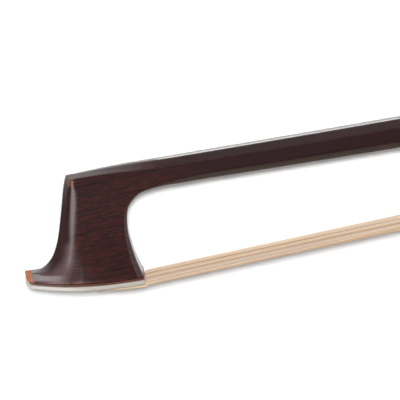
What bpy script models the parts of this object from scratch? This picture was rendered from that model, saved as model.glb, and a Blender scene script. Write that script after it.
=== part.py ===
"""A violin bow with its octagonal stick and head, its hair, the frog that slides on the stick and the screw.

The bow lies on its side. +X runs along the hair from the head to the frog, +Y from the hair to the stick and
+Z up. Lengths are in metres. Head shapes are drawn from the plate's lower rear edge, frog shapes from the
frog's heel on the axis of the stick, and the button from the butt end of the stick.
"""

import math

import bmesh
import bpy
from mathutils import Matrix, Vector

MM = 0.001

# Clearances between pieces.
GLUE_GAP = 0.12 * MM
SEAT_GAP = 0.3 * MM
RUNNING_GAP = 0.3 * MM
THREAD_GAP = 0.15 * MM

# Stick.
STICK_LENGTH = 730.0 * MM
TIP_DIAMETER = 5.2 * MM
HANDLE_DIAMETER = 8.5 * MM
CONSTANT_HANDLE = 110.0 * MM
TAPER_SHIFT = 175.0 * MM
TIP_AXIS_HEIGHT = 20.45 * MM
TIP_SLOPE = 0.0565
CAMBER_RADIUS = 5650.0 * MM
STRAIGHT_HANDLE = 168.0 * MM
STICK_STATION = 32.0 * MM

# Head of the stick, with the peak and the nose measured back from the rear edge of its plate.
HEAD_LENGTH = 22.1 * MM
HEAD_ROOT = 20.0 * MM
PEAK_BACK = 10.3 * MM
PEAK_DROP = 0.35 * MM
RIDGE_HALF_WIDTH = 0.3 * MM
NOSE_HALF_WIDTH = 1.05 * MM
CHEEK_FLARE_POWER = 2.2
THROAT_CHAMFER = 0.6 * MM
FOOT_CHAMFER = 1.1 * MM
TOP_ROWS = 10
FRONT_ROWS = 20
FACET_COLUMNS = 3
CHEEK_COLUMNS = 8

# Tip plate, its liner, the plug and the mortise behind the nose.
PLATE_LENGTH = 22.3 * MM
PLATE_THICKNESS = 0.82 * MM
PLATE_HALF_WIDTH = 5.05 * MM
PLATE_RISE = 0.055
PLATE_SWEEP = 1.95 * MM
PLATE_HOOK_RADIUS = 1.0 * MM
PLATE_HOOK_HEIGHT = 5.2 * MM
PLATE_HOOK_EDGE = 0.25 * MM
PLATE_BEVEL = 0.15 * MM
LINER_THICKNESS = 0.35 * MM
MORTISE_FRONT = 9.9 * MM
MORTISE_REAR = 3.7 * MM
MORTISE_HALF_WIDTH = 3.3 * MM
MORTISE_TOP = 5.9 * MM
TIP_KNOT_RADIUS = 0.75 * MM

# Hair.
HAIR_LOCKS = 8
HAIR_HALF_WIDTH = 4.6 * MM
HAIR_FROG_HALF_WIDTH = 4.9 * MM
HAIR_THICKNESS = 1.25 * MM
HAIR_PRESSED = 0.65 * MM
HAIR_LIFT = 0.65 * MM
HAIR_SPREAD_LENGTH = 1.5 * MM
HAIR_JOIN_DEPTH = 1.5 * MM

# Frog, measured from the axis of the stick down to its slide and from its heel forward.
HEEL_TO_BUTT = 10.0 * MM
FROG_LENGTH = 46.0 * MM
FROG_DEPTH = 22.0 * MM
FROG_HALF_WIDTH = 5.9 * MM
RAIL_TOP = 1.6 * MM
HEEL_ROUND = 0.9 * MM
FROG_EASE = 0.3 * MM
THUMB_TIP = 5.4 * MM
THROAT_DEPTH = 9.2 * MM
THROAT_HEIGHT = 6.4 * MM
THROAT_FRONT_SETBACK = 1.1 * MM
UNDERSLIDE_THICKNESS = 0.45 * MM

# Ferrule and the pieces inside it.
FERRULE_LENGTH = 10.5 * MM
FERRULE_HALF_WIDTH = 6.2 * MM
FERRULE_HEIGHT = 8.0 * MM
FERRULE_WALL = 0.6 * MM
FERRULE_SHOULDER = 3.4 * MM
FERRULE_CORNER = 0.8 * MM
TONGUE_DEPTH = 19.0 * MM
WEDGE_THICKNESS = 0.7 * MM
WEDGE_LENGTH = 8.6 * MM

# Frog mortise, slide and heel plates.
FROG_MORTISE_SETBACK = 2.5 * MM
FROG_MORTISE_LENGTH = 8.8 * MM
FROG_MORTISE_FRONT = FROG_LENGTH - FERRULE_LENGTH - FROG_MORTISE_SETBACK
FROG_MORTISE_REAR = FROG_MORTISE_FRONT - FROG_MORTISE_LENGTH
FROG_MORTISE_HALF_WIDTH = 4.2 * MM
FROG_MORTISE_TOP = 13.4 * MM
HAIR_CHANNEL_HALF_WIDTH = 4.7 * MM
HAIR_CHANNEL_DEPTH = 1.15 * MM
FROG_KNOT_RADIUS = 0.9 * MM
SLIDE_HALF_WIDTH = 4.25 * MM
SLIDE_DOVETAIL = 0.35 * MM
SLIDE_BACKING = 0.75 * MM
SLIDE_PEARL = 0.65 * MM
HEEL_PLATE_THICKNESS = 0.7 * MM
HEEL_PLATE_FOOT = 6.0 * MM
HEEL_PLATE_RISE = 13.0 * MM
HEEL_PLATE_HALF_WIDTH = 4.4 * MM
PIN_RADIUS = 0.5 * MM
PIN_LENGTH = 2.4 * MM
LINING_PIN_LENGTH = 1.5 * MM

# Inlaid eye in each cheek of the frog.
EYE_FORWARD = 0.413 * FROG_LENGTH
EYE_DEPTH = 12.6 * MM
EYE_PEARL_RADIUS = 2.5 * MM
EYE_RING_INNER = 3.2 * MM
EYE_RING_OUTER = 3.8 * MM
EYE_THICKNESS = 0.8 * MM
EYE_DOME = 0.12 * MM

# Screw, eyelet and button.
SCREW_RADIUS = 1.35 * MM
SCREW_REACH = 74.0 * MM
THREAD_PITCH = 0.7 * MM
TURNS_TO_SLACKEN = 2
TURNS_TO_TIGHTEN = 6
NIPPLE_RADIUS = 2.5 * MM
NIPPLE_LENGTH = 2.6 * MM
NIPPLE_ROOT = 2.0 * MM
EYELET_FORWARD = 22.0 * MM
EYELET_LENGTH = 5.0 * MM
EYELET_RADIUS = 2.2 * MM
EYELET_SHANK_RADIUS = 1.6 * MM
EYELET_SHANK_DEPTH = 11.0 * MM
SLOT_SIDE_GAP = 0.3 * MM
SLOT_END_GAP = 1.0 * MM
SLOT_HEAD_ROOM = 0.6 * MM
BUTTON_LENGTH = 13.4 * MM
BUTTON_DIAMETER = 8.7 * MM
COLLAR_LENGTH = 3.8 * MM
COLLAR_LIP = 0.6 * MM
COLLAR_WALL = 0.55 * MM
COLLAR_EASE = 0.35 * MM
BUTTON_PEARL_THICKNESS = 0.75 * MM

# Grip and winding.
LEATHER_LENGTH = 30.0 * MM
LEATHER_THICKNESS = 0.75 * MM
LEATHER_SKIVE = 3.0 * MM
SILK_LENGTH = 68.0 * MM
SILK_THICKNESS = 0.35 * MM
TINSEL_RADIUS = 0.3 * MM
TINSEL_TURNS = 20
TINSEL_END_MARGIN = 3.0 * MM

OCTAGON_SIDE = math.tan(math.pi / 8)
OCTAGON_CORNER = 1 / math.cos(math.pi / 8)
SMOOTH_ANGLE = math.radians(35)
BORE_SIDES = 20
EYE_SIDES = 32

MATERIALS = {
    "dark_wood": ((0.055, 0.022, 0.018), 0.35, 0.0),
    "bone": ((0.66, 0.64, 0.58), 0.4, 0.0),
    "ebony": ((0.012, 0.010, 0.010), 0.3, 0.0),
    "pale_wood": ((0.55, 0.38, 0.2), 0.6, 0.0),
    "horsehair": ((0.66, 0.5, 0.33), 0.55, 0.0),
    "thread": ((0.35, 0.06, 0.04), 0.6, 0.0),
    "silver": ((0.78, 0.77, 0.74), 0.25, 1.0),
    "brass": ((0.7, 0.5, 0.2), 0.35, 1.0),
    "steel": ((0.5, 0.5, 0.5), 0.3, 1.0),
    "pearl": ((0.75, 0.78, 0.76), 0.2, 0.0),
    "leather": ((0.03, 0.018, 0.014), 0.6, 0.0),
    "silk": ((0.16, 0.02, 0.03), 0.5, 0.0),
}


def clear_scene():
    """Removes whatever the file opened with."""
    for old in list(bpy.data.objects):
        bpy.data.objects.remove(old, do_unlink=True)


def make_collection(name):
    """A collection linked to the scene."""
    made = bpy.data.collections.new(name)
    bpy.context.scene.collection.children.link(made)
    return made


def material(name):
    """The Principled material of one finish, made once."""
    found = bpy.data.materials.get(name)
    if found:
        return found
    colour, roughness, metallic = MATERIALS[name]
    made = bpy.data.materials.new(name)
    made.use_nodes = True
    made.diffuse_color = (*colour, 1.0)
    shader = made.node_tree.nodes["Principled BSDF"]
    shader.inputs["Base Color"].default_value = (*colour, 1.0)
    shader.inputs["Roughness"].default_value = roughness
    shader.inputs["Metallic"].default_value = metallic
    return made


def empty(name, parent, location, angle=0.0):
    """A frame that pieces are parented to, turned about Z."""
    made = bpy.data.objects.new(name, None)
    PIECES.objects.link(made)
    made.parent = parent
    made.location = location
    made.rotation_euler = (0, 0, angle)
    return made


def link(name, mesh, parent, finish=None):
    """An object for a mesh: a piece with a finish, or a cutter with none."""
    made = bpy.data.objects.new(name, mesh)
    made.parent = parent
    if finish:
        PIECES.objects.link(made)
        mesh.materials.append(material(finish))
        mesh.shade_smooth()
        mesh.set_sharp_from_angle(angle=SMOOTH_ANGLE)
    else:
        CUTTERS.objects.link(made)
        made.hide_render = True
        made.display_type = "WIRE"
    return made


def mesh_from(shape, name):
    """Turns a bmesh into a mesh and frees it."""
    made = bpy.data.meshes.new(name)
    shape.to_mesh(made)
    shape.free()
    return made


def block(name, low, high, parent, finish=None):
    """A box between two corners."""
    shape = bmesh.new()
    centre = (Vector(low) + Vector(high)) / 2
    size = Vector(high) - Vector(low)
    place = Matrix.Translation(centre) @ Matrix.Diagonal((*size, 1))
    bmesh.ops.create_cube(shape, size=1, matrix=place)
    return link(name, mesh_from(shape, name), parent, finish)


def rod(name, start, end, radius, parent, finish=None, sides=BORE_SIDES, turn=0.0):
    """A round or many-sided bar from one point to another."""
    shape = bmesh.new()
    start, end = Vector(start), Vector(end)
    along = end - start
    place = Matrix.Translation((start + end) / 2) @ along.to_track_quat("Z", "Y").to_matrix().to_4x4()
    bmesh.ops.create_cone(
        shape, cap_ends=True, segments=sides, radius1=radius, radius2=radius, depth=along.length,
        matrix=place @ Matrix.Rotation(turn, 4, "Z"),
    )
    return link(name, mesh_from(shape, name), parent, finish)


def loft(name, rings, parent, finish=None):
    """A closed skin over rings that have as many points as each other, capped at both ends."""
    shape = bmesh.new()
    rows = [[shape.verts.new(point) for point in ring] for ring in rings]
    count = len(rows[0])
    for first, second in zip(rows, rows[1:]):
        for i in range(count):
            j = (i + 1) % count
            shape.faces.new((first[i], first[j], second[j], second[i]))
    shape.faces.new(rows[0][::-1])
    shape.faces.new(rows[-1])
    bmesh.ops.triangulate(shape, faces=[face for face in shape.faces if len(face.verts) == 4])
    bmesh.ops.recalc_face_normals(shape, faces=shape.faces)
    return link(name, mesh_from(shape, name), parent, finish)


def extruded(name, outlines, thickness, place, parent, finish=None):
    """A flat outline, with any holes, given a thickness along its own Z and set in place."""
    curve = bpy.data.curves.new(name, "CURVE")
    curve.dimensions = "2D"
    curve.fill_mode = "BOTH"
    curve.extrude = thickness / 2
    for outline in outlines:
        spline = curve.splines.new("POLY")
        spline.points.add(len(outline) - 1)
        for point, (x, y) in zip(spline.points, outline):
            point.co = (x, y, 0, 1)
        spline.use_cyclic_u = True
    flat = bpy.data.objects.new(name + "_outline", curve)
    CUTTERS.objects.link(flat)
    evaluated = flat.evaluated_get(bpy.context.evaluated_depsgraph_get())
    made = bpy.data.meshes.new_from_object(evaluated)
    bpy.data.objects.remove(flat)
    shape = bmesh.new()
    shape.from_mesh(made)
    bpy.data.meshes.remove(made)
    bmesh.ops.remove_doubles(shape, verts=shape.verts, dist=0.001 * MM)
    bmesh.ops.transform(shape, matrix=place, verts=shape.verts)
    bmesh.ops.recalc_face_normals(shape, faces=shape.faces)
    return link(name, mesh_from(shape, name), parent, finish)


def turned(name, profile, place, parent, finish, sides=EYE_SIDES):
    """A profile of (radius, height) points, outer side first from the top down, turned about the placed Z."""
    shape = bmesh.new()
    points = [shape.verts.new((radius, 0, height)) for radius, height in profile]
    for first, second in zip(points, points[1:]):
        shape.edges.new((first, second))
    made = link(name, mesh_from(shape, name), parent, finish)
    made.matrix_local = place
    screw = made.modifiers.new("turn", "SCREW")
    screw.steps = sides
    screw.render_steps = sides
    screw.use_merge_vertices = True
    screw.merge_threshold = 0.01 * MM
    screw.use_smooth_shade = True
    return made


def cut(piece, *cutters):
    """Cuts each cutter out of a piece."""
    for cutter in cutters:
        boolean = piece.modifiers.new(cutter.name, "BOOLEAN")
        boolean.operation = "DIFFERENCE"
        boolean.object = cutter


def join(piece, *others):
    """Joins helper solids to a piece, so that they are one body."""
    for other in others:
        boolean = piece.modifiers.new(other.name, "BOOLEAN")
        boolean.operation = "UNION"
        boolean.object = other


def settle(piece):
    """Applies a piece's modifiers and marks the edges that they left sharp."""
    evaluated = piece.evaluated_get(bpy.context.evaluated_depsgraph_get())
    mesh = bpy.data.meshes.new_from_object(evaluated)
    mesh.name = piece.name
    if piece.type == "CURVE":
        made = bpy.data.objects.new(piece.name + "_mesh", mesh)
        PIECES.objects.link(made)
        made.parent = piece.parent
        name = piece.name
        bpy.data.objects.remove(piece)
        made.name = name
        return made
    piece.modifiers.clear()
    piece.data = mesh
    mesh.shade_smooth()
    mesh.set_sharp_from_angle(angle=SMOOTH_ANGLE)
    return piece


def ease_edges(piece, width, segments=1):
    """Breaks the sharp edges of a piece."""
    bevel = piece.modifiers.new("eased", "BEVEL")
    bevel.width = width
    bevel.segments = segments
    bevel.limit_method = "ANGLE"
    bevel.angle_limit = SMOOTH_ANGLE


def between(low, high, share):
    """The value or point a share of the way from one to another."""
    return low + (high - low) * share


def smooth_step(share):
    """0 to 1 with a gentle start and end."""
    share = min(1.0, max(0.0, share))
    return share * share * (3 - 2 * share)


def through(knots, per_span=8):
    """Points on a smooth curve through the knots."""
    ends = [knots[0] * 2 - knots[1], *knots, knots[-1] * 2 - knots[-2]]
    found = []
    for before, here, there, after in zip(ends, ends[1:], ends[2:], ends[3:]):
        for step in range(per_span):
            t = step / per_span
            pull = (there - before) * t + (before * 2 - here * 5 + there * 4 - after) * t**2
            found.append(here + (pull + (here * 3 - before - there * 3 + after) * t**3) / 2)
    return found + [knots[-1]]


def spaced(points, count, start=0.0, end=1.0):
    """Points at even distances along a line of points, between two shares of its length."""
    lengths = [0.0]
    for first, second in zip(points, points[1:]):
        lengths.append(lengths[-1] + (second - first).length)
    found = []
    for i in range(count + 1):
        want = lengths[-1] * between(start, end, i / count)
        k = next(k for k in range(1, len(points)) if lengths[k] >= want - 1e-12)
        share = (want - lengths[k - 1]) / (lengths[k] - lengths[k - 1])
        found.append(between(points[k - 1], points[k], share))
    return found


def value_at(knots, x):
    """A smooth value read from (place, value) knots in rising order of place."""
    xs = [place for place, _ in knots]
    x = min(max(x, xs[0]), xs[-1])
    k = next(k for k in range(1, len(xs)) if xs[k] >= x)
    return between(knots[k - 1][1], knots[k][1], (x - xs[k - 1]) / (xs[k] - xs[k - 1]))


# Line of the stick. The distance along it is measured from the rear edge of the tip plate.
BUTT_X = STICK_LENGTH - HEAD_LENGTH
HANDLE_START = BUTT_X - STRAIGHT_HANDLE
HANDLE_SLOPE = HANDLE_START / CAMBER_RADIUS - TIP_SLOPE
HANDLE_ANGLE = math.atan(HANDLE_SLOPE)


def axis_height(x):
    """Height of the stick's axis: a shallow arc from the head, then straight along the handle."""
    bent = min(x, HANDLE_START)
    height = TIP_AXIS_HEIGHT - TIP_SLOPE * bent + bent**2 / (2 * CAMBER_RADIUS)
    return height + max(0.0, x - HANDLE_START) * HANDLE_SLOPE


def axis_angle(x):
    """Direction of the stick's axis."""
    return math.atan(min(x, HANDLE_START) / CAMBER_RADIUS - TIP_SLOPE)


def stick_diameter(x):
    """Distance across flats: the old logarithmic taper from the head to the handle."""
    tapered = BUTT_X - CONSTANT_HANDLE
    share = math.log((min(max(x, 0.0), tapered) + TAPER_SHIFT) / TAPER_SHIFT)
    return between(TIP_DIAMETER, HANDLE_DIAMETER, share / math.log((tapered + TAPER_SHIFT) / TAPER_SHIFT))


def plate_face(x):
    """Height of the outer face of the tip plate, which sweeps up towards the nose."""
    back = max(0.0, -x)
    return PLATE_RISE * back + PLATE_SWEEP * (back / PLATE_LENGTH) ** 2


def plate_slope(x):
    """Angle of the plate's outer face."""
    return math.atan(PLATE_RISE + 2 * PLATE_SWEEP * max(0.0, -x) / PLATE_LENGTH**2)


def plate_half_width(x):
    """Half width of the tip plate and of the head where it sits on the plate."""
    shape = (
        (-PLATE_LENGTH, NOSE_HALF_WIDTH / PLATE_HALF_WIDTH),
        (-0.94 * PLATE_LENGTH, 0.37),
        (-0.83 * PLATE_LENGTH, 0.57),
        (-0.70 * PLATE_LENGTH, 0.77),
        (-0.57 * PLATE_LENGTH, 0.905),
        (-0.42 * PLATE_LENGTH, 0.98),
        (-0.25 * PLATE_LENGTH, 1.0),
        (0.02 * PLATE_LENGTH, 0.965),
    )
    return PLATE_HALF_WIDTH * value_at(shape, x)


def head_seat(x):
    """Height at which the wood of the head ends, above the plate and its liner."""
    return plate_face(x) + PLATE_THICKNESS + LINER_THICKNESS + 2 * GLUE_GAP


def cheek_half_width(x, y):
    """Half width of the head: the stick's own at the top, flaring to the plate's."""
    stick = stick_diameter(x) / 2
    seat = head_seat(x)
    rise = axis_height(0) - TIP_DIAMETER / 2 - seat
    flare = max(0.0, 1 - max(0.0, y - seat) / rise) ** CHEEK_FLARE_POWER
    return between(stick, plate_half_width(x), flare)


def stick_point(x, up, side):
    """A point of the section at x: so far up from the axis and so far to the side."""
    angle = axis_angle(x)
    return Vector((x - math.sin(angle) * up, axis_height(x) + math.cos(angle) * up, side))


def full_ring(half):
    """The whole section from its +Z half, listed from the top rim to the lower rim."""
    return half + [Vector((p.x, p.y, -p.z)) for p in reversed(half)]


def octagon_half(x):
    """Half an octagonal section of the stick, with the points that the head's rows need."""
    radius = stick_diameter(x) / 2
    side = radius * OCTAGON_SIDE
    rim, inset = stick_point(x, radius, side), stick_point(x, side, radius)
    low_inset, low_rim = stick_point(x, -side, radius), stick_point(x, -radius, side)
    facet = [between(rim, inset, i / FACET_COLUMNS) for i in range(FACET_COLUMNS)]
    cheek = [between(inset, low_inset, i / CHEEK_COLUMNS) for i in range(CHEEK_COLUMNS + 1)]
    return facet + cheek + [low_rim]


def head_outline():
    """The ridge from the peak to the nose, the shoulder of its facet, and the throat down to the plate."""
    peak_height = stick_point(-PEAK_BACK, TIP_DIAMETER / 2, 0).y - PEAK_DROP
    ridge = [
        Vector((-PEAK_BACK, peak_height, 0)),
        Vector((-0.508 * HEAD_LENGTH, 0.905 * peak_height, 0)),
        Vector((-0.574 * HEAD_LENGTH, 0.710 * peak_height, 0)),
        Vector((-0.631 * HEAD_LENGTH, 0.550 * peak_height, 0)),
        Vector((-0.679 * HEAD_LENGTH, 0.440 * peak_height, 0)),
        Vector((-0.737 * HEAD_LENGTH, 0.350 * peak_height, 0)),
        Vector((-0.812 * HEAD_LENGTH, 0.287 * peak_height, 0)),
        Vector((-0.900 * HEAD_LENGTH, 0.259 * peak_height, 0)),
        Vector((-HEAD_LENGTH, 0.270 * peak_height, 0)),
    ]
    shoulder = [
        Vector((-0.416 * HEAD_LENGTH, 0.900 * peak_height, 0)),
        Vector((-0.462 * HEAD_LENGTH, 0.750 * peak_height, 0)),
        Vector((-0.493 * HEAD_LENGTH, 0.630 * peak_height, 0)),
        Vector((-0.525 * HEAD_LENGTH, 0.510 * peak_height, 0)),
        Vector((-0.561 * HEAD_LENGTH, 0.395 * peak_height, 0)),
        Vector((-0.602 * HEAD_LENGTH, 0.295 * peak_height, 0)),
        Vector((-0.647 * HEAD_LENGTH, 0.215 * peak_height, 0)),
        Vector((-0.690 * HEAD_LENGTH, 0.160 * peak_height, 0)),
    ]
    under = TIP_AXIS_HEIGHT - TIP_DIAMETER / 2
    foot = 0.013 * HEAD_LENGTH
    throat = [
        stick_point(x, -stick_diameter(x) / 2, 0) for x in (HEAD_ROOT, 0.6 * HEAD_ROOT, 0.37 * HEAD_ROOT)
    ] + [
        Vector((0.152 * HEAD_LENGTH, 0.957 * under, 0)),
        Vector((0.055 * HEAD_LENGTH, 0.888 * under, 0)),
        Vector((-0.008 * HEAD_LENGTH, 0.790 * under, 0)),
        Vector((-0.040 * HEAD_LENGTH, 0.570 * under, 0)),
        Vector((-0.022 * HEAD_LENGTH, 0.290 * under, 0)),
        Vector((foot, head_seat(foot), 0)),
    ]
    return through(ridge), through(shoulder), through(throat)


def head_half(rim, rim_side, inset, low_inset, low_rim, low_side, seated):
    """Half a section of the head, fanned round the throat from its ridge to its rear face."""
    edge = Vector((inset.x, inset.y, cheek_half_width(inset.x, inset.y)))
    top = Vector((rim.x, rim.y, rim_side))
    low_edge = Vector((low_inset.x, low_inset.y, cheek_half_width(low_inset.x, low_inset.y)))
    points = [between(top, edge, i / FACET_COLUMNS) for i in range(FACET_COLUMNS)]
    for i in range(CHEEK_COLUMNS + 1):
        point = between(edge, low_edge, i / CHEEK_COLUMNS)
        points.append(Vector((point.x, point.y, cheek_half_width(point.x, point.y))))
    points.append(Vector((low_rim.x, low_rim.y, low_side)))
    if seated:
        for point in points:
            point.y = head_seat(point.x)
    return points


def inward(points, i):
    """The normal of a throat line at one of its points, into the wood."""
    along = points[min(i + 1, len(points) - 1)] - points[max(i - 1, 0)]
    return Vector((-along.y, along.x, 0)).normalized() * -1


def head_rings():
    """The head's sections, from the plate to where the plain octagon starts."""
    ridge, shoulder, throat = head_outline()
    corner = TIP_DIAMETER / 2 * (1 - OCTAGON_SIDE)
    top = [stick_point(x, stick_diameter(x) / 2, 0) for x in (HEAD_ROOT, HEAD_ROOT / 2, 0.0)]
    top = spaced(through(top + [ridge[0]]), TOP_ROWS)
    turn = 0.52
    low_top, low_front = spaced(throat, TOP_ROWS, 0, turn), spaced(throat, FRONT_ROWS, turn, 1)
    front, edge = spaced(ridge, FRONT_ROWS - 1), spaced(shoulder, FRONT_ROWS)
    front.append(Vector((-0.966 * HEAD_LENGTH, head_seat(-0.966 * HEAD_LENGTH), 0)))
    rings = []
    for i in range(1, TOP_ROWS):
        share = i / TOP_ROWS
        rim_side = between(stick_diameter(HEAD_ROOT) / 2 * OCTAGON_SIDE, RIDGE_HALF_WIDTH * 1.5, share**2)
        depth = between(stick_diameter(HEAD_ROOT) / 2 * (1 - OCTAGON_SIDE), corner, share)
        inset = top[i] + Vector((share * corner * 0.4, -depth, 0))
        low_depth = between(depth, THROAT_CHAMFER, smooth_step(share * 1.1 - 0.1))
        low_inset = low_top[i] + inward(low_top, i) * low_depth
        low_side = cheek_half_width(low_inset.x, low_inset.y) - low_depth
        rings.append(head_half(top[i], rim_side, inset, low_inset, low_top[i], low_side, False))
    for i in range(FRONT_ROWS + 1):
        share = i / FRONT_ROWS
        rim_side = between(RIDGE_HALF_WIDTH, NOSE_HALF_WIDTH, smooth_step((share - 0.72) * 3.6))
        depth = between(THROAT_CHAMFER, FOOT_CHAMFER, smooth_step((share - 0.3) * 1.4))
        low_inset = low_front[i] + inward(low_front, i) * depth
        low_side = cheek_half_width(low_inset.x, low_inset.y) - depth
        seated = i == FRONT_ROWS
        rings.append(head_half(front[i], rim_side, edge[i], low_inset, low_front[i], low_side, seated))
    return rings[::-1]


def make_stick(bow, handle):
    """The stick and its head in one piece, with the plug mortise, the screw bore, the slot and the nipple."""
    rings = [full_ring(half) for half in head_rings()]
    bent = max(2, math.ceil((HANDLE_START - HEAD_ROOT) / STICK_STATION))
    stations = [between(HEAD_ROOT, HANDLE_START, i / bent) for i in range(bent + 1)]
    stations += [BUTT_X - CONSTANT_HANDLE, BUTT_X]
    rings += [full_ring(octagon_half(x)) for x in stations]
    stick = loft("stick", rings, bow, "dark_wood")
    nipple = rod("nipple_stock", (-NIPPLE_ROOT, 0, 0), (NIPPLE_LENGTH, 0, 0), NIPPLE_RADIUS, handle)
    join(stick, nipple)
    bore_radius = SCREW_RADIUS + RUNNING_GAP
    bore_end = -SCREW_REACH - SLOT_END_GAP
    bore = rod("screw_bore", (bore_end, 0, 0), (NIPPLE_LENGTH + MM, 0, 0), bore_radius, handle)
    eyelet = -HEEL_TO_BUTT - EYELET_FORWARD
    reach = EYELET_LENGTH / 2 + SLOT_END_GAP
    slot_half = EYELET_RADIUS + SLOT_SIDE_GAP
    slot = block(
        "eyelet_slot",
        (eyelet - reach - TURNS_TO_SLACKEN * THREAD_PITCH, -HANDLE_DIAMETER, -slot_half),
        (eyelet + reach + TURNS_TO_TIGHTEN * THREAD_PITCH, EYELET_RADIUS + SLOT_HEAD_ROOM, slot_half),
        handle,
    )
    cut(stick, bore, slot, mortise_cutter(bow))
    return stick


def mortise_cutter(bow):
    """The space of the plug mortise, which passes through the plate and the liner too."""
    found = bpy.data.objects.get("mortise_space")
    if found:
        return found
    low = (-MORTISE_FRONT, -2 * MM, -MORTISE_HALF_WIDTH)
    return block("mortise_space", low, (-MORTISE_REAR, MORTISE_TOP, MORTISE_HALF_WIDTH), bow)


def strip_ring(centre, up, half_width, thickness, bevel):
    """A flat section across a strip, its lower long edges broken."""
    top, low = centre + up * thickness / 2, centre - up * thickness / 2
    side = Vector((0, 0, half_width))
    inner = Vector((0, 0, half_width - bevel))
    return [top - side, low - side + up * bevel, low - inner, low + inner, low + side + up * bevel, top + side]


def make_tip_plate(bow):
    """The facing of the head, following the sweep of its face and hooked up round the nose."""
    rings = []
    hook_lean = math.sin(plate_slope(PLATE_HOOK_RADIUS - PLATE_LENGTH))
    hook_start = PLATE_LENGTH - (PLATE_THICKNESS / 2 + PLATE_HOOK_RADIUS) * (1 - hook_lean)
    for i in range(11):
        x = between(0.012 * PLATE_LENGTH, -hook_start, i / 10)
        slope = plate_slope(x)
        up = Vector((math.sin(slope), math.cos(slope), 0))
        centre = Vector((x, plate_face(x), 0)) + up * PLATE_THICKNESS / 2
        rings.append(strip_ring(centre, up, plate_half_width(x), PLATE_THICKNESS, PLATE_BEVEL))
    pivot = centre + up * PLATE_HOOK_RADIUS
    for i in range(1, 6):
        angle = between(slope, math.pi / 2, i / 5)
        up = Vector((math.sin(angle), math.cos(angle), 0))
        thickness = between(PLATE_THICKNESS, 0.75 * PLATE_THICKNESS, i / 5)
        centre = pivot - up * (PLATE_HOOK_RADIUS + (PLATE_THICKNESS - thickness) / 2)
        rings.append(strip_ring(centre, up, plate_half_width(centre.x), thickness, PLATE_BEVEL))
    outer = centre.x - thickness / 2
    centre = Vector((outer + PLATE_HOOK_EDGE / 2, PLATE_HOOK_HEIGHT, 0))
    rings.append(strip_ring(centre, up, 0.9 * NOSE_HALF_WIDTH, PLATE_HOOK_EDGE, PLATE_HOOK_EDGE / 3))
    plate = loft("tip_plate", rings, bow, "bone")
    cut(plate, mortise_cutter(bow))


def make_tip_liner(bow):
    """The dark veneer between the plate and the wood."""
    rings = []
    for i in range(11):
        x = between(0.012 * PLATE_LENGTH, -0.95 * PLATE_LENGTH, i / 10)
        slope = plate_slope(x)
        up = Vector((math.sin(slope), math.cos(slope), 0))
        lift = PLATE_THICKNESS + GLUE_GAP + LINER_THICKNESS / 2
        centre = Vector((x, plate_face(x), 0)) + up * lift
        rings.append(strip_ring(centre, up, plate_half_width(x) * 0.99, LINER_THICKNESS, PLATE_BEVEL / 3))
    liner = loft("tip_liner", rings, bow, "ebony")
    cut(liner, mortise_cutter(bow))


def hair_ring(centre, up, half_width, thickness):
    """A section across the ribbon of hair, gathered in rounded locks."""
    points = []
    for side in (1, -1):
        for i in range(2 * HAIR_LOCKS):
            across = between(-half_width, half_width, i / (2 * HAIR_LOCKS)) * side
            swell = 0.5 if i % 2 else 0.36
            if i == 0:
                swell = 0.0
            points.append(centre + up * thickness * swell * side + Vector((0, 0, across)))
    return points


def hair_rings(path):
    """Sections of hair along (centre, half width, thickness) steps."""
    rings = []
    for i, (centre, half_width, thickness) in enumerate(path):
        along = path[min(i + 1, len(path) - 1)][0] - path[max(i - 1, 0)][0]
        up = Vector((-along.y, along.x, 0)).normalized()
        rings.append(hair_ring(centre, up, half_width, thickness))
    return rings


def hair_in_ferrule():
    """Depth below the stick's axis of the middle of the hair inside the ferrule."""
    return FROG_DEPTH - FERRULE_WALL - 2 * GLUE_GAP - HAIR_THICKNESS / 2


def make_hair(bow, to_bow):
    """The ribbon: out of the tip mortise, round the fold, along the plate and straight into the ferrule."""
    fold = MORTISE_HALF_WIDTH - SEAT_GAP
    leg = -MORTISE_FRONT + GLUE_GAP + HAIR_PRESSED / 2
    rest = GLUE_GAP + HAIR_PRESSED / 2
    bend = -leg - 0.9 * HAIR_PRESSED
    path = [
        (Vector((leg, MORTISE_TOP * 0.62, 0)), fold, HAIR_PRESSED),
        (Vector((leg, plate_face(leg) + PLATE_THICKNESS, 0)), fold, HAIR_PRESSED),
        (Vector((leg + 0.12 * HAIR_PRESSED, plate_face(leg) + 0.25 * PLATE_THICKNESS, 0)), fold, HAIR_PRESSED),
        (Vector((leg + 0.4 * HAIR_PRESSED, plate_face(leg) - 0.35 * rest, 0)), fold, 0.95 * HAIR_PRESSED),
        (Vector((-bend, plate_face(-bend) - rest, 0)), 1.06 * fold, HAIR_PRESSED),
    ]
    for i in range(1, 5):
        x = between(-bend, 0.0, i / 4)
        width = between(1.06 * fold, HAIR_HALF_WIDTH, i / 4)
        path.append((Vector((x, plate_face(x) - rest, 0)), width, HAIR_PRESSED))
    path.append((Vector((0.2 * HAIR_SPREAD_LENGTH, -rest, 0)), HAIR_HALF_WIDTH, HAIR_PRESSED))
    mouth_depth = -hair_in_ferrule()
    mouth = to_bow @ Vector((-FROG_LENGTH - SEAT_GAP, mouth_depth, 0))
    end = to_bow @ Vector((-FROG_LENGTH + HAIR_JOIN_DEPTH, mouth_depth, 0))
    leave = Vector((HAIR_SPREAD_LENGTH, HAIR_LIFT - HAIR_THICKNESS / 2, 0))
    path.append((between(path[-1][0], leave, 0.5), HAIR_HALF_WIDTH, between(HAIR_PRESSED, HAIR_THICKNESS, 0.6)))
    for i in range(5):
        width = between(HAIR_HALF_WIDTH, HAIR_FROG_HALF_WIDTH, i / 4)
        path.append((between(leave, mouth, i / 4), width, HAIR_THICKNESS))
    path.append((end, HAIR_FROG_HALF_WIDTH, HAIR_THICKNESS))
    loft("hair_ribbon", hair_rings(path), bow, "horsehair")


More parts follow.
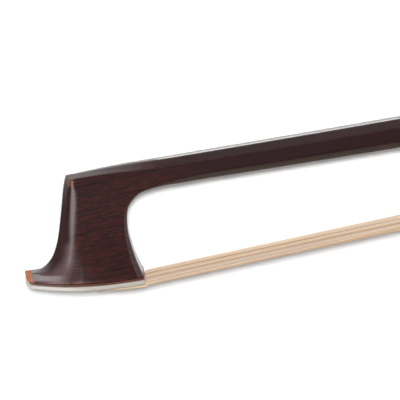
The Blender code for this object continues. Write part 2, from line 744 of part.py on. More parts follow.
def make_tip_knot_and_plug(bow):
    """The bound end of the hair at the top of the tip mortise, and the wooden plug that locks it in."""
    knot_height = MORTISE_TOP - GLUE_GAP - TIP_KNOT_RADIUS
    leg = HAIR_PRESSED + 2 * GLUE_GAP
    knot_x = -MORTISE_FRONT + 2 * GLUE_GAP + TIP_KNOT_RADIUS + leg / 2
    half = MORTISE_HALF_WIDTH - SEAT_GAP
    rod("tip_knot", (knot_x, knot_height, -half), (knot_x, knot_height, half), TIP_KNOT_RADIUS, bow, "thread")
    top = knot_height - TIP_KNOT_RADIUS - GLUE_GAP
    front, rear = -MORTISE_FRONT + leg + GLUE_GAP, -MORTISE_REAR - GLUE_GAP
    outline = [
        (front, plate_face(front) + 0.25 * PLATE_THICKNESS), (rear, plate_face(rear) + GLUE_GAP),
        (rear, top), (front, top),
    ]
    extruded("tip_plug", [outline], 2 * half, Matrix.Identity(4), bow, "pale_wood")


def frog_outline():
    """Side view of the frog block: heel, rails, thumb tip, throat, ferrule shoulder and tongue."""
    bottom, front = -FROG_DEPTH, -FROG_LENGTH
    shoulder = front + FERRULE_LENGTH
    ferrule_top = bottom + FERRULE_HEIGHT
    points = [(0, -RAIL_TOP), (0, bottom + HEEL_ROUND)]
    for i in range(1, 5):
        angle = between(0, math.pi / 2, i / 4)
        points.append((-HEEL_ROUND * (1 - math.cos(angle)), bottom + HEEL_ROUND * (1 - math.sin(angle))))
    points += [(shoulder + GLUE_GAP, bottom), (shoulder + GLUE_GAP, -TONGUE_DEPTH)]
    points += [(front + GLUE_GAP, -TONGUE_DEPTH), (front + GLUE_GAP, ferrule_top - FERRULE_WALL)]
    points.append((shoulder + GLUE_GAP, ferrule_top - FERRULE_WALL))
    points.append((shoulder + GLUE_GAP, ferrule_top))
    centre_x = front + THROAT_FRONT_SETBACK
    centre_y = ferrule_top + 0.8 * MM
    for i in range(11):
        angle = between(0, math.pi / 2, i / 10)
        points.append((centre_x + THROAT_DEPTH * math.cos(angle), centre_y + THROAT_HEIGHT * math.sin(angle)))
    tip = centre_y + THROAT_HEIGHT
    for i in range(1, 6):
        angle = between(0, math.pi / 2, i / 5)
        x = centre_x - THROAT_FRONT_SETBACK * math.sin(angle)
        points.append((x, between(tip, -THUMB_TIP, 1 - math.cos(angle))))
    points.append((front, -RAIL_TOP - 0.6 * MM))
    points.append((front + 0.6 * MM, -RAIL_TOP))
    return points


def ferrule_outline(inset):
    """The ferrule's D section as (side, height) points, shrunk by an inset."""
    half, low, top = FERRULE_HALF_WIDTH - inset, -FROG_DEPTH + inset, -FROG_DEPTH + FERRULE_HEIGHT - inset
    shoulder = -FROG_DEPTH + FERRULE_SHOULDER
    corner = max(FERRULE_CORNER - inset, 0.25 * MM)
    points = []
    for side in (1, -1):
        arc = []
        for i in range(4):
            angle = between(-math.pi / 2, 0, i / 3)
            arc.append((half - corner + corner * math.cos(angle), low + corner + corner * math.sin(angle)))
        for i in range(9):
            angle = between(0, math.pi / 2, i / 9)
            arc.append((half * math.cos(angle), shoulder + (top - shoulder) * math.sin(angle)))
        if side == 1:
            points += arc + [(0, top)]
        else:
            points += [(-x, y) for x, y in reversed(arc)]
    return points


def across_x(x):
    """Places an outline drawn as (side, height) so that it faces along X, centred at x."""
    turn = Matrix(((0, 0, 1, 0), (0, 1, 0, 0), (-1, 0, 0, 0), (0, 0, 0, 1)))
    return Matrix.Translation((x, 0, 0)) @ turn


def make_frog_block(frog):
    """The ebony body of the frog with its channel, tongue, mortise and the seats of what is let into it."""
    width = 2 * FROG_HALF_WIDTH
    body = extruded("frog_block", [frog_outline()], width, Matrix.Identity(4), frog, "ebony")
    ease_edges(body, FROG_EASE)
    channel = HANDLE_DIAMETER / 2 + RUNNING_GAP + UNDERSLIDE_THICKNESS + GLUE_GAP
    radius = channel * OCTAGON_CORNER
    ends = (-FROG_LENGTH - MM, 0, 0), (MM, 0, 0)
    channel_space = rod("channel_space", *ends, radius, frog, sides=8, turn=math.pi / 8)
    front, shoulder = -FROG_LENGTH, -FROG_LENGTH + FERRULE_LENGTH
    wide, low = 1.5 * FROG_HALF_WIDTH, -FROG_DEPTH - MM
    high = -FROG_DEPTH + FERRULE_HEIGHT - FERRULE_WALL / 2
    around = [(-wide, low), (wide, low), (wide, high), (-wide, high)]
    tongue_space = extruded(
        "tongue_space", [around, ferrule_outline(FERRULE_WALL + GLUE_GAP)],
        FERRULE_LENGTH + MM, across_x((front + shoulder + 3 * GLUE_GAP - MM) / 2), frog,
    )
    ceiling = -FROG_DEPTH + SLIDE_PEARL + SLIDE_BACKING + 3 * GLUE_GAP
    half = SLIDE_HALF_WIDTH + GLUE_GAP
    slide_rear = -HEEL_PLATE_FOOT - GLUE_GAP
    slide_space = extruded(
        "slide_space",
        [[(-half, -FROG_DEPTH - MM), (half, -FROG_DEPTH - MM),
          (half + SLIDE_DOVETAIL, ceiling), (-half - SLIDE_DOVETAIL, ceiling)]],
        slide_rear - shoulder + MM, across_x((slide_rear + shoulder - MM) / 2), frog,
    )
    hair_space = block(
        "hair_space", (shoulder - MM, ceiling - 0.2 * MM, -HAIR_CHANNEL_HALF_WIDTH),
        (-FROG_MORTISE_REAR, ceiling + HAIR_CHANNEL_DEPTH, HAIR_CHANNEL_HALF_WIDTH), frog,
    )
    mortise = block(
        "frog_mortise_space", (-FROG_MORTISE_FRONT, ceiling, -FROG_MORTISE_HALF_WIDTH),
        (-FROG_MORTISE_REAR, -FROG_MORTISE_TOP, FROG_MORTISE_HALF_WIDTH), frog,
    )
    thickness = HEEL_PLATE_THICKNESS + GLUE_GAP
    foot_space = block(
        "heel_foot_space", (-HEEL_PLATE_FOOT - 2 * GLUE_GAP, -FROG_DEPTH - MM, -width),
        (MM, -FROG_DEPTH + thickness, width), frog,
    )
    half = HEEL_PLATE_HALF_WIDTH + GLUE_GAP
    upright_space = block(
        "heel_upright_space", (-thickness, -FROG_DEPTH - MM, -half),
        (MM, -FROG_DEPTH + HEEL_PLATE_RISE + GLUE_GAP, half), frog,
    )
    shank_space = rod(
        "shank_space", (-EYELET_FORWARD, 0, 0), (-EYELET_FORWARD, -EYELET_SHANK_DEPTH - GLUE_GAP, 0),
        EYELET_SHANK_RADIUS + GLUE_GAP, frog,
    )
    cut(body, channel_space, tongue_space, slide_space, hair_space, mortise, foot_space, upright_space)
    cut(body, shank_space)
    return body


def make_eyes(frog, body):
    """A pearl dot with a silver ring round it, let into each cheek."""
    for side, label in ((1, "upper"), (-1, "lower")):
        face = side * FROG_HALF_WIDTH
        turn = Matrix.Rotation(0 if side == 1 else math.pi, 4, "X")
        place = Matrix.Translation((-EYE_FORWARD, -EYE_DEPTH, face)) @ turn
        rim, top = EYE_PEARL_RADIUS, -GLUE_GAP / 2
        dome = [(0, top), (0.6 * rim, top - 0.3 * EYE_DOME), (rim, top - EYE_DOME)]
        profile = dome + [(rim, -EYE_THICKNESS), (0, -EYE_THICKNESS)]
        turned("eye_pearl_" + label, profile, place, frog, "pearl")
        circles = []
        for radius in (EYE_RING_OUTER, EYE_RING_INNER):
            circles.append([
                (radius * math.cos(2 * math.pi * i / EYE_SIDES), radius * math.sin(2 * math.pi * i / EYE_SIDES))
                for i in range(EYE_SIDES)
            ])
        height = EYE_THICKNESS - GLUE_GAP / 2
        middle = Matrix.Translation((0, 0, -(EYE_THICKNESS + GLUE_GAP / 2) / 2))
        extruded("eye_ring_" + label, circles, height, place @ middle, frog, "silver")
        axis = (-EYE_FORWARD, -EYE_DEPTH)
        deep = face - side * (EYE_THICKNESS + GLUE_GAP)
        hole = rod("pearl_hole_" + label, (*axis, deep), (*axis, face + side * MM), rim + GLUE_GAP, frog,
                   sides=EYE_SIDES)
        grown = []
        for radius in (EYE_RING_OUTER + GLUE_GAP, EYE_RING_INNER - GLUE_GAP):
            grown.append([
                (radius * math.cos(2 * math.pi * i / EYE_SIDES), radius * math.sin(2 * math.pi * i / EYE_SIDES))
                for i in range(EYE_SIDES)
            ])
        depth = EYE_THICKNESS + GLUE_GAP
        centre = Matrix.Translation((0, 0, (MM - depth) / 2))
        groove = extruded("ring_groove_" + label, grown, depth + MM, place @ centre, frog)
        cut(body, hole, groove)


def make_underslide(frog, body):
    """The silver lining of the channel, bent over three facets, with a pin at each end."""
    inner = HANDLE_DIAMETER / 2 + RUNNING_GAP
    low, high = inner * OCTAGON_SIDE, inner
    shape = bmesh.new()
    rows = []
    front, rear = -FROG_LENGTH + 0.8 * MM, -0.6 * MM
    reach = low + 0.15 * MM
    for x in (front, rear):
        line = [(-reach, high - (reach - low)), (-high, low), (-high, -low), (-reach, -high + (reach - low))]
        rows.append([shape.verts.new((x, y, z)) for y, z in line])
    for i in range(3):
        shape.faces.new((rows[0][i], rows[0][i + 1], rows[1][i + 1], rows[1][i]))
    lining = link("frog_underslide", mesh_from(shape, "frog_underslide"), frog, "silver")
    solidify = lining.modifiers.new("thickness", "SOLIDIFY")
    solidify.thickness = UNDERSLIDE_THICKNESS
    solidify.offset = 1.0
    solidify.use_even_offset = True
    shank = rod(
        "lining_hole", (-EYELET_FORWARD, 0, 0), (-EYELET_FORWARD, -inner - 2 * MM, 0),
        EYELET_SHANK_RADIUS + GLUE_GAP, frog,
    )
    cut(lining, shank)
    top = -inner - GLUE_GAP / 2
    for label, x in (("front", front + 3 * MM), ("rear", rear - 3 * MM)):
        end = top - LINING_PIN_LENGTH
        rod("underslide_pin_" + label, (x, top, 0), (x, end, 0), PIN_RADIUS, frog, "silver", sides=12)
        space = rod("underslide_pin_space_" + label, (x, 0, 0), (x, end - GLUE_GAP, 0),
                    PIN_RADIUS + GLUE_GAP, frog, sides=12)
        cut(lining, space)
        cut(body, space)


def make_eyelet(frog):
    """The brass eyelet: a threaded barrel round the screw on a shank that is driven into the frog."""
    half = EYELET_LENGTH / 2
    centre = -EYELET_FORWARD
    barrel = rod("frog_eyelet", (centre - half, 0, 0), (centre + half, 0, 0), EYELET_RADIUS, frog, "brass", 24)
    seat = -HANDLE_DIAMETER / 2 - RUNNING_GAP + GLUE_GAP
    side = EYELET_SHANK_RADIUS + GLUE_GAP
    long = half - 0.4 * MM
    neck = block("eyelet_neck", (centre - long, seat, -side), (centre + long, -0.5 * MM, side), frog)
    shank = rod("eyelet_shank", (centre, seat + MM, 0), (centre, -EYELET_SHANK_DEPTH, 0), EYELET_SHANK_RADIUS, frog)
    hole = rod("eyelet_thread", (centre - half - MM, 0, 0), (centre + half + MM, 0, 0),
               SCREW_RADIUS + THREAD_GAP, frog)
    join(barrel, neck, shank)
    cut(barrel, hole)


def make_ferrule(frog):
    """The D-shaped ring that holds the hair flat, and the wedge that spreads it."""
    middle = across_x(-FROG_LENGTH + FERRULE_LENGTH / 2)
    outlines = [ferrule_outline(0), ferrule_outline(FERRULE_WALL)]
    extruded("ferrule", outlines, FERRULE_LENGTH, middle, frog, "silver")
    top = -TONGUE_DEPTH - GLUE_GAP
    front = -FROG_LENGTH + GLUE_GAP
    half = FERRULE_HALF_WIDTH - FERRULE_WALL - 2 * GLUE_GAP - 0.3 * MM
    thin = 0.7 * WEDGE_THICKNESS
    outline = [(front, top), (front, top - WEDGE_THICKNESS), (front + WEDGE_LENGTH, top - thin),
               (front + WEDGE_LENGTH, top)]
    extruded("spread_wedge", [outline], 2 * half, Matrix.Identity(4), frog, "pale_wood")


def make_frog_hair(frog):
    """The hair inside the frog: through the ferrule, over the plug and up to its bound knot."""
    ferrule_level = -hair_in_ferrule()
    ceiling = -FROG_DEPTH + SLIDE_PEARL + SLIDE_BACKING + 3 * GLUE_GAP
    thick = HAIR_CHANNEL_DEPTH - 2 * GLUE_GAP
    level = ceiling + GLUE_GAP + thick / 2
    shoulder = -FROG_LENGTH + FERRULE_LENGTH
    rear = -FROG_MORTISE_REAR - GLUE_GAP - thick / 2
    inner = FROG_MORTISE_HALF_WIDTH - SEAT_GAP
    wide = HAIR_CHANNEL_HALF_WIDTH - GLUE_GAP
    start = -FROG_LENGTH + HAIR_JOIN_DEPTH + SEAT_GAP
    path = [
        (Vector((start, ferrule_level, 0)), wide, 0.9 * thick),
        (Vector((shoulder - 2.6 * MM, ferrule_level, 0)), wide, 0.9 * thick),
        (Vector((shoulder - 0.6 * MM, level, 0)), wide, 0.9 * thick),
        (Vector((-FROG_MORTISE_FRONT + MM, level, 0)), inner, thick),
        (Vector((rear - 1.2 * MM, level, 0)), inner, thick),
        (Vector((rear - 0.3 * MM, level + 0.35 * MM, 0)), inner, 0.85 * thick),
        (Vector((rear, level + 1.3 * MM, 0)), inner, 0.9 * thick),
        (Vector((rear, -FROG_MORTISE_TOP - 2.4 * FROG_KNOT_RADIUS, 0)), inner, thick),
    ]
    loft("frog_hair_end", hair_rings(path), frog, "horsehair")
    knot = (-FROG_MORTISE_REAR - GLUE_GAP - FROG_KNOT_RADIUS, -FROG_MORTISE_TOP - GLUE_GAP - FROG_KNOT_RADIUS)
    rod("frog_knot", (*knot, -inner), (*knot, inner), FROG_KNOT_RADIUS, frog, "thread")
    low = (-FROG_MORTISE_FRONT + SEAT_GAP, level + thick / 2 + GLUE_GAP, -inner)
    high = (rear - thick / 2 - 4 * GLUE_GAP, -FROG_MORTISE_TOP - 2.4 * FROG_KNOT_RADIUS, inner)
    block("frog_plug", low, high, frog, "pale_wood")


def make_slide(frog):
    """The slide that closes the frog: an ebony dovetail faced with pearl."""
    front = -FROG_LENGTH + FERRULE_LENGTH + SEAT_GAP
    rear = -HEEL_PLATE_FOOT - 3 * GLUE_GAP
    top = -FROG_DEPTH + SLIDE_PEARL + SLIDE_BACKING + 2 * GLUE_GAP
    low = top - SLIDE_BACKING
    half = SLIDE_HALF_WIDTH
    share = (top + FROG_DEPTH) / (SLIDE_PEARL + SLIDE_BACKING + 3 * GLUE_GAP)
    outline = [(-half, low), (half, low), (half + SLIDE_DOVETAIL * share, top), (-half - SLIDE_DOVETAIL * share, top)]
    place = across_x((front + rear) / 2)
    extruded("slide_backing", [outline], rear - front, place, frog, "ebony")
    face_low = (front, -FROG_DEPTH, -half)
    block("slide_pearl", face_low, (rear, -FROG_DEPTH + SLIDE_PEARL, half), frog, "pearl")


def make_heel_plates(frog, body):
    """The silver foot under the heel and the upright behind it, each pinned."""
    foot = block(
        "heel_foot", (-HEEL_PLATE_FOOT, -FROG_DEPTH, -FROG_HALF_WIDTH),
        (-GLUE_GAP, -FROG_DEPTH + HEEL_PLATE_THICKNESS, FROG_HALF_WIDTH), frog, "silver",
    )
    top = -FROG_DEPTH + HEEL_PLATE_RISE
    upright = block(
        "heel_upright", (-HEEL_PLATE_THICKNESS, -FROG_DEPTH + HEEL_PLATE_THICKNESS + GLUE_GAP, -HEEL_PLATE_HALF_WIDTH),
        (0, top, HEEL_PLATE_HALF_WIDTH), frog, "silver",
    )
    flush = GLUE_GAP / 2
    x = -HEEL_PLATE_FOOT / 2
    pins = [("foot", foot, (x, -FROG_DEPTH + flush, 0), Vector((0, 1, 0)))]
    for label, share in (("low", 0.25), ("high", 0.8)):
        y = -FROG_DEPTH + HEEL_PLATE_RISE * share
        pins.append((label, upright, (-flush, y, 0), Vector((-1, 0, 0))))
    for label, plate, outside, into in pins:
        start = Vector(outside)
        rod("heel_pin_" + label, start, start + into * PIN_LENGTH, PIN_RADIUS, frog, "silver", sides=12)
        space = rod("heel_pin_space_" + label, start - into * MM, start + into * (PIN_LENGTH + GLUE_GAP),
                    PIN_RADIUS + GLUE_GAP, frog, sides=12)
        cut(plate, space)
        cut(body, space)


def make_screw_and_button(screw):
    """The steel screw and its button: an ebony core between two silver collars, with a pearl in its end."""
    start, end = RUNNING_GAP, BUTTON_LENGTH
    flats = BUTTON_DIAMETER / 2
    shoulder = flats - COLLAR_WALL
    socket = NIPPLE_RADIUS + RUNNING_GAP
    rod("adjusting_screw", (-SCREW_REACH, 0, 0), (end - COLLAR_LENGTH, 0, 0), SCREW_RADIUS, screw, "steel")
    front_end, rear_start = start + COLLAR_LENGTH, end - COLLAR_LENGTH
    core = rod("button_core", (front_end + GLUE_GAP, 0, 0), (rear_start - GLUE_GAP, 0, 0),
               0.985 * flats * OCTAGON_CORNER, screw, "ebony", 8, math.pi / 8)
    core_end = end - BUTTON_PEARL_THICKNESS - 2 * GLUE_GAP
    waist = rod("button_waist", (start + COLLAR_LIP + GLUE_GAP, 0, 0), (core_end, 0, 0), shoulder - GLUE_GAP, screw,
                sides=32)
    shaft = rod("button_shaft_space", (-MM, 0, 0), (rear_start + GLUE_GAP, 0, 0), SCREW_RADIUS + GLUE_GAP, screw)
    nipple = rod("nipple_space", (-MM, 0, 0), (NIPPLE_LENGTH + RUNNING_GAP, 0, 0), socket, screw)
    join(core, waist)
    cut(core, shaft, nipple)
    pearl_radius = socket
    for label, x0, x1, lip in (("front", start, front_end, 1), ("rear", rear_start, end, -1)):
        collar = rod("button_collar_" + label, (x0, 0, 0), (x1, 0, 0), flats * OCTAGON_CORNER, screw, "silver", 8,
                     math.pi / 8)
        ease_edges(collar, COLLAR_EASE)
        near, far = (x0 + COLLAR_LIP, x1 + MM) if lip == 1 else (x0 - MM, x1 - COLLAR_LIP - GLUE_GAP)
        inside = rod("collar_space_" + label, (near, 0, 0), (far, 0, 0), shoulder, screw, sides=32)
        opening = rod("collar_mouth_" + label, (x0 - MM, 0, 0), (x1 + MM, 0, 0), pearl_radius + GLUE_GAP, screw)
        cut(collar, inside, opening)
    place = Matrix.Translation((end, 0, 0)) @ Matrix.Rotation(math.pi / 2, 4, "Y")
    profile = [(0, 0), (0.6 * pearl_radius, -0.3 * EYE_DOME), (pearl_radius, -EYE_DOME),
               (pearl_radius, -BUTTON_PEARL_THICKNESS), (0, -BUTTON_PEARL_THICKNESS)]
    turned("button_pearl", profile, place, screw, "pearl", BORE_SIDES)


def sleeve_ring(s, flat_radius):
    """An octagonal ring round the handle at s, with its corners rounded off."""
    points = []
    for i in range(8):
        corner = math.pi / 8 + i * math.pi / 4
        for lean in (-0.09, 0.09):
            reach = flat_radius / math.cos(math.pi / 8 - abs(lean))
            points.append(Vector((s, reach * math.cos(corner + lean), reach * math.sin(corner + lean))))
    return points


def make_sleeve(name, stations, handle, finish, gap):
    """A wrap round the handle from (place, thickness) stations, hollow where the stick passes through."""
    outer, inner = [], []
    for s, thickness in stations:
        flat = stick_diameter(BUTT_X + s) / 2 + gap
        outer.append(sleeve_ring(s, flat + thickness))
        corner = flat * OCTAGON_CORNER
        ring = [Vector((s, corner * math.cos(a), corner * math.sin(a)))
                for a in (math.pi / 8 + i * math.pi / 4 for i in range(8))]
        inner.append(ring)
    wrap = loft(name, outer, handle, finish)
    step = Vector((MM, 0, 0))
    first, last = [p - step for p in inner[0]], [p + step for p in inner[-1]]
    cut(wrap, loft(name + "_space", [first, *inner, last], handle))
    return outer


def make_grip(handle):
    """The thumb leather, then the silk wrap ahead of it with its open winding of tinsel."""
    rear = -HEEL_TO_BUTT - FROG_LENGTH - TURNS_TO_SLACKEN * THREAD_PITCH - 2 * SEAT_GAP
    front = rear - LEATHER_LENGTH
    thin = 0.35 * LEATHER_THICKNESS
    leather = [(front, thin), (front + LEATHER_SKIVE, LEATHER_THICKNESS), (rear - LEATHER_SKIVE, LEATHER_THICKNESS),
               (rear, 0.8 * LEATHER_THICKNESS)]
    make_sleeve("thumb_leather", leather, handle, "leather", SEAT_GAP / 2)
    silk_rear = front - SEAT_GAP
    silk_front = silk_rear - SILK_LENGTH
    silk = [(silk_front, SILK_THICKNESS), (between(silk_front, silk_rear, 0.5), SILK_THICKNESS),
            (silk_rear, SILK_THICKNESS)]
    make_sleeve("silk_lapping", silk, handle, "silk", SEAT_GAP / 2)
    make_tinsel(silk_front + TINSEL_END_MARGIN, silk_rear - TINSEL_END_MARGIN, handle)


def make_tinsel(start, end, handle):
    """One unbroken strand wound over the silk, turn by turn across the flats and round the corners."""
    per_turn = 24
    count = TINSEL_TURNS * per_turn
    points = []
    for i in range(count + 1):
        s = between(start, end, i / count)
        angle = 2 * math.pi * i / per_turn
        flat = stick_diameter(BUTT_X + s) / 2 + SEAT_GAP / 2 + SILK_THICKNESS + TINSEL_RADIUS + GLUE_GAP
        off_flat = (angle + math.pi / 8) % (math.pi / 4) - math.pi / 8
        reach = flat / math.cos(min(abs(off_flat), math.pi / 8 - 0.1))
        points.append(Vector((s, reach * math.cos(angle), reach * math.sin(angle))))
    curve = bpy.data.curves.new("tinsel_winding", "CURVE")
    curve.dimensions = "3D"
    curve.bevel_depth = TINSEL_RADIUS
    curve.bevel_resolution = 1
    curve.use_fill_caps = True
    spline = curve.splines.new("POLY")
    spline.points.add(count)
    for knot, point in zip(spline.points, points):
        knot.co = (*point, 1)
    winding = bpy.data.objects.new("tinsel_winding", curve)
    winding.parent = handle
    PIECES.objects.link(winding)
    curve.materials.append(material("silver"))
    nearest = min(
        (points[i] - points[j]).length
        for i in range(0, count + 1) for j in range(i + per_turn // 2, min(count + 1, i + 2 * per_turn))
    )
    print(f"least gap between the winding's turns: {(nearest - 2 * TINSEL_RADIUS) / MM:.2f} mm")


def bow_origin():
    """Shift that puts the origin under the middle of the lying bow."""
    end = BUTT_X + BUTTON_LENGTH * math.cos(HANDLE_ANGLE)
    left = -PLATE_LENGTH
    button_top = axis_height(BUTT_X) + BUTTON_LENGTH * math.sin(HANDLE_ANGLE) + BUTTON_DIAMETER / 2
    ferrule_x = BUTT_X - (HEEL_TO_BUTT + FROG_LENGTH) * math.cos(HANDLE_ANGLE)
    ferrule_low = axis_height(ferrule_x) - FROG_DEPTH * math.cos(HANDLE_ANGLE)
    lift = max(FERRULE_HALF_WIDTH, PLATE_HALF_WIDTH, FROG_HALF_WIDTH)
    return Vector((-(left + end) / 2, -(button_top + ferrule_low) / 2, lift))


def build():
    """Builds the whole bow."""
    bow = empty("bow_frame", None, bow_origin())
    handle = empty("handle_axis", bow, (BUTT_X, axis_height(BUTT_X), 0), HANDLE_ANGLE)
    frog = empty("frog_axis", handle, (-HEEL_TO_BUTT, 0, 0))
    screw = empty("screw_axis", handle, (0, 0, 0))
    bpy.context.view_layer.update()
    to_bow = bow.matrix_world.inverted() @ frog.matrix_world
    make_stick(bow, handle)
    make_tip_plate(bow)
    make_tip_liner(bow)
    make_tip_knot_and_plug(bow)
    make_hair(bow, to_bow)
    make_grip(handle)
    body = make_frog_block(frog)
    make_eyes(frog, body)
    make_underslide(frog, body)
    make_eyelet(frog)
    make_ferrule(frog)
    make_frog_hair(frog)
    make_slide(frog)
    make_heel_plates(frog, body)
    make_screw_and_button(screw)
    bpy.context.view_layer.update()
    for piece in [found for found in PIECES.objects if found.type in {"MESH", "CURVE"}]:
        settle(piece)


clear_scene()
PIECES = make_collection("violin_bow")
CUTTERS = make_collection("cutters")
build()
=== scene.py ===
"""The looks of a violin bow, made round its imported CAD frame. Lengths are in metres.

The bow lies on its side. +X runs along the hair from the head to the frog, +Y from the hair to the stick
and +Z up. Shapes of the head are given from the lower rear edge of the tip plate, those of the grip and the
button from the butt of the stick, and those of the frog from its heel on the axis of the stick.
"""

import math
import random

import bmesh
import bpy
from mathutils import Matrix, Vector
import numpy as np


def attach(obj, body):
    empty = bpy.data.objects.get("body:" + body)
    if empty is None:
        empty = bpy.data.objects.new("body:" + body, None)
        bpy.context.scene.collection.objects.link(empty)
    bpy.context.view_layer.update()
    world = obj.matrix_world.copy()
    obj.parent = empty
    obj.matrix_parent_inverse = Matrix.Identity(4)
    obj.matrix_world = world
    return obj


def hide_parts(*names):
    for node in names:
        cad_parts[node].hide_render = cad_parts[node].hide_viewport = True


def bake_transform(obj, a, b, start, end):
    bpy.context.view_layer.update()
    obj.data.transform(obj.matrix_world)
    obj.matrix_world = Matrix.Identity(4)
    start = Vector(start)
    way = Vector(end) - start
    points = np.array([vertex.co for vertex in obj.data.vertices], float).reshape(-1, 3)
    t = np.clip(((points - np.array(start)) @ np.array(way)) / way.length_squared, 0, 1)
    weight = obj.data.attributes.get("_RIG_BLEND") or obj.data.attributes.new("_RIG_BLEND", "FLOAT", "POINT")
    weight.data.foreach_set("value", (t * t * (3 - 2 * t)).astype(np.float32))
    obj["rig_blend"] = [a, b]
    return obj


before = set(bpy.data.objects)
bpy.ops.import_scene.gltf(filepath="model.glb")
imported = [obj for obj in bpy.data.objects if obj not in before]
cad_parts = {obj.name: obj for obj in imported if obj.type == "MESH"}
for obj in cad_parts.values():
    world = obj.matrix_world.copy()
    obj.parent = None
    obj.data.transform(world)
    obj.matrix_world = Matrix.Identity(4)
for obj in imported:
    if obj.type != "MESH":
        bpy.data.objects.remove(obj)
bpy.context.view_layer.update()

bl_info = {
    "name": "Violin bow looks",
    "version": (1, 0, 0),
    "blender": (4, 5, 0),
    "location": "View3D > Sidebar > Bow",
    "description": "Models and finishes the visible pieces of a violin bow",
    "category": "Add Mesh",
}

MM = 0.001

# Where the head and the butt stand, and how the handle is turned.
HEAD = Vector((-349.495, -12.655, 6.2)) * MM
BUTT = Vector((358.405, 9.648, 6.2)) * MM
HANDLE_ANGLE = math.atan2(0.0390278, 0.9992381)
HANDLE = Matrix.Translation(BUTT) @ Matrix.Rotation(HANDLE_ANGLE, 4, "Z")
FROG_HEEL = -10.0 * MM
FROG_AXIS = HANDLE @ Matrix.Translation((FROG_HEEL, 0, 0))
OCTAGON_SIDE = math.tan(math.pi / 8)
SMOOTH_ANGLE = math.radians(32)


# Sizes and colours that a user would change.

def length(name, description, default):
    """A length that the panel shows in scene units."""
    return bpy.props.FloatProperty(
        name=name, description=description, default=default, unit="LENGTH", subtype="DISTANCE", precision=5)


def colour(name, description, default):
    """A linear colour."""
    return bpy.props.FloatVectorProperty(
        name=name, description=description, default=default, size=3, min=0, max=1, subtype="COLOR")


def share(name, description, default):
    """A number from 0 to 1."""
    return bpy.props.FloatProperty(
        name=name, description=description, default=default, min=0, max=1, subtype="FACTOR")


def power(name, description, default):
    """The power of a lamp."""
    return bpy.props.FloatProperty(name=name, description=description, default=default, min=0)


def turn(name, description, degrees):
    """An angle."""
    return bpy.props.FloatProperty(
        name=name, description=description, default=math.radians(degrees), subtype="ANGLE")


def number(name, description, default, low, high):
    """A whole number."""
    return bpy.props.IntProperty(name=name, description=description, default=default, min=low, max=high)


class BowSizes(bpy.types.PropertyGroup):
    """Sizes of the pieces that the photograph shows and of the grip."""

    edge_round: length("Stick edges", "How far the corners of the octagon are rounded", 0.3 * MM)
    front_round: length("Front edge", "How far the head's front edge is rounded at its middle", 1.3 * MM)
    strand_radius: length("Hair radius", "Radius of one strand of hair", 0.125 * MM)
    strand_columns: number("Hair columns", "Strands side by side across the ribbon", 38, 8, 60)
    strand_layers: number("Hair layers", "Strands on top of each other in the ribbon", 6, 2, 9)
    silk_pitch: length("Silk pitch", "Distance between the turns of silk", 0.3 * MM)
    tinsel_radius: length("Tinsel radius", "Radius of the twisted tinsel", 0.3 * MM)


class BowColours(bpy.types.PropertyGroup):
    """Colours of the finishes."""

    wood: colour("Wood", "Varnished wood of the head's cheeks", (0.0355, 0.0083, 0.0072))
    wood_dark: colour("Dark wood", "Darker streaks and the length of the stick", (0.022, 0.0092, 0.011))
    wood_red: colour("Wood streaks", "Streaks where the varnish is thin", (0.086, 0.0195, 0.0145))
    # A lilac-grey painted sheen: it stands in for the reflection along the head's front edge and nose.
    wood_painted_sheen: colour("Painted sheen", "Painted sheen of the front edge and nose", (0.150, 0.096, 0.104))
    wood_bare: colour("Bare wood", "Wood at the chipped nose and worn corners", (0.56, 0.205, 0.110))
    bone: colour("Bone", "Polished bone of the tip plate", (0.515, 0.48, 0.435))
    bone_stain: colour("Bone stain", "Yellowed spots of the bone", (0.40, 0.30, 0.17))
    hair: colour("Hair", "Pale horsehair", (0.80, 0.635, 0.455))
    hair_dark: colour("Dark hair", "Darker strands of the ribbon", (0.38, 0.215, 0.110))
    hair_grey: colour("Greyer hair", "Pinkish grey strands of the ribbon", (0.60, 0.475, 0.385))
    ebony: colour("Ebony", "Polished ebony", (0.012, 0.010, 0.010))
    pale_wood: colour("Plug wood", "Bare soft wood of the plugs", (0.55, 0.38, 0.20))
    silver: colour("Silver", "Polished silver", (0.78, 0.77, 0.74))
    brass: colour("Brass", "Brass of the eyelet", (0.70, 0.50, 0.20))
    steel: colour("Steel", "Steel of the screw", (0.50, 0.50, 0.50))
    pearl: colour("Pearl", "Mother-of-pearl", (0.75, 0.78, 0.76))
    veneer: colour("Veneer", "Red-brown veneer between the plate and the wood", (0.13, 0.042, 0.024))
    leather: colour("Leather", "Dark leather of the grip", (0.030, 0.018, 0.014))
    silk: colour("Silk", "Silk of the lapping", (0.16, 0.020, 0.030))
    thread: colour("Thread", "Waxed thread of the knots", (0.35, 0.060, 0.040))


class BowStage(bpy.types.PropertyGroup):
    """The floor, the lamps and the camera."""

    tilt: turn("Tilt", "How far the camera leans towards the stick", 12.5)
    roll: turn("Roll", "How far the picture is turned", 12.25)
    distance: length("Distance", "From the camera to the middle of the view", 0.428)
    sky: share("Sky", "Strength of the soft light from all round", 0.06)
    key: power("Key lamp", "Power of the lamp above", 158.0)
    soft: power("Soft lamp", "Power of the wide lamp behind the stick", 16.0)
    sheen: power("Sheen card", "Power of the card that the head's front edge mirrors", 44.0)
    edge: power("Edge card", "Power of the strip that the top of the stick mirrors", 0.046)
    floor: colour("Floor", "Colour of the pale floor", (0.84, 0.84, 0.84))
    glow: share("Floor glow", "How much of the floor's white is its own", 0.19)


def sizes():
    """The sizes that the panel holds."""
    return bpy.context.scene.bow_sizes


def colours():
    """The colours that the panel holds."""
    return bpy.context.scene.bow_colours


# Shader sums.

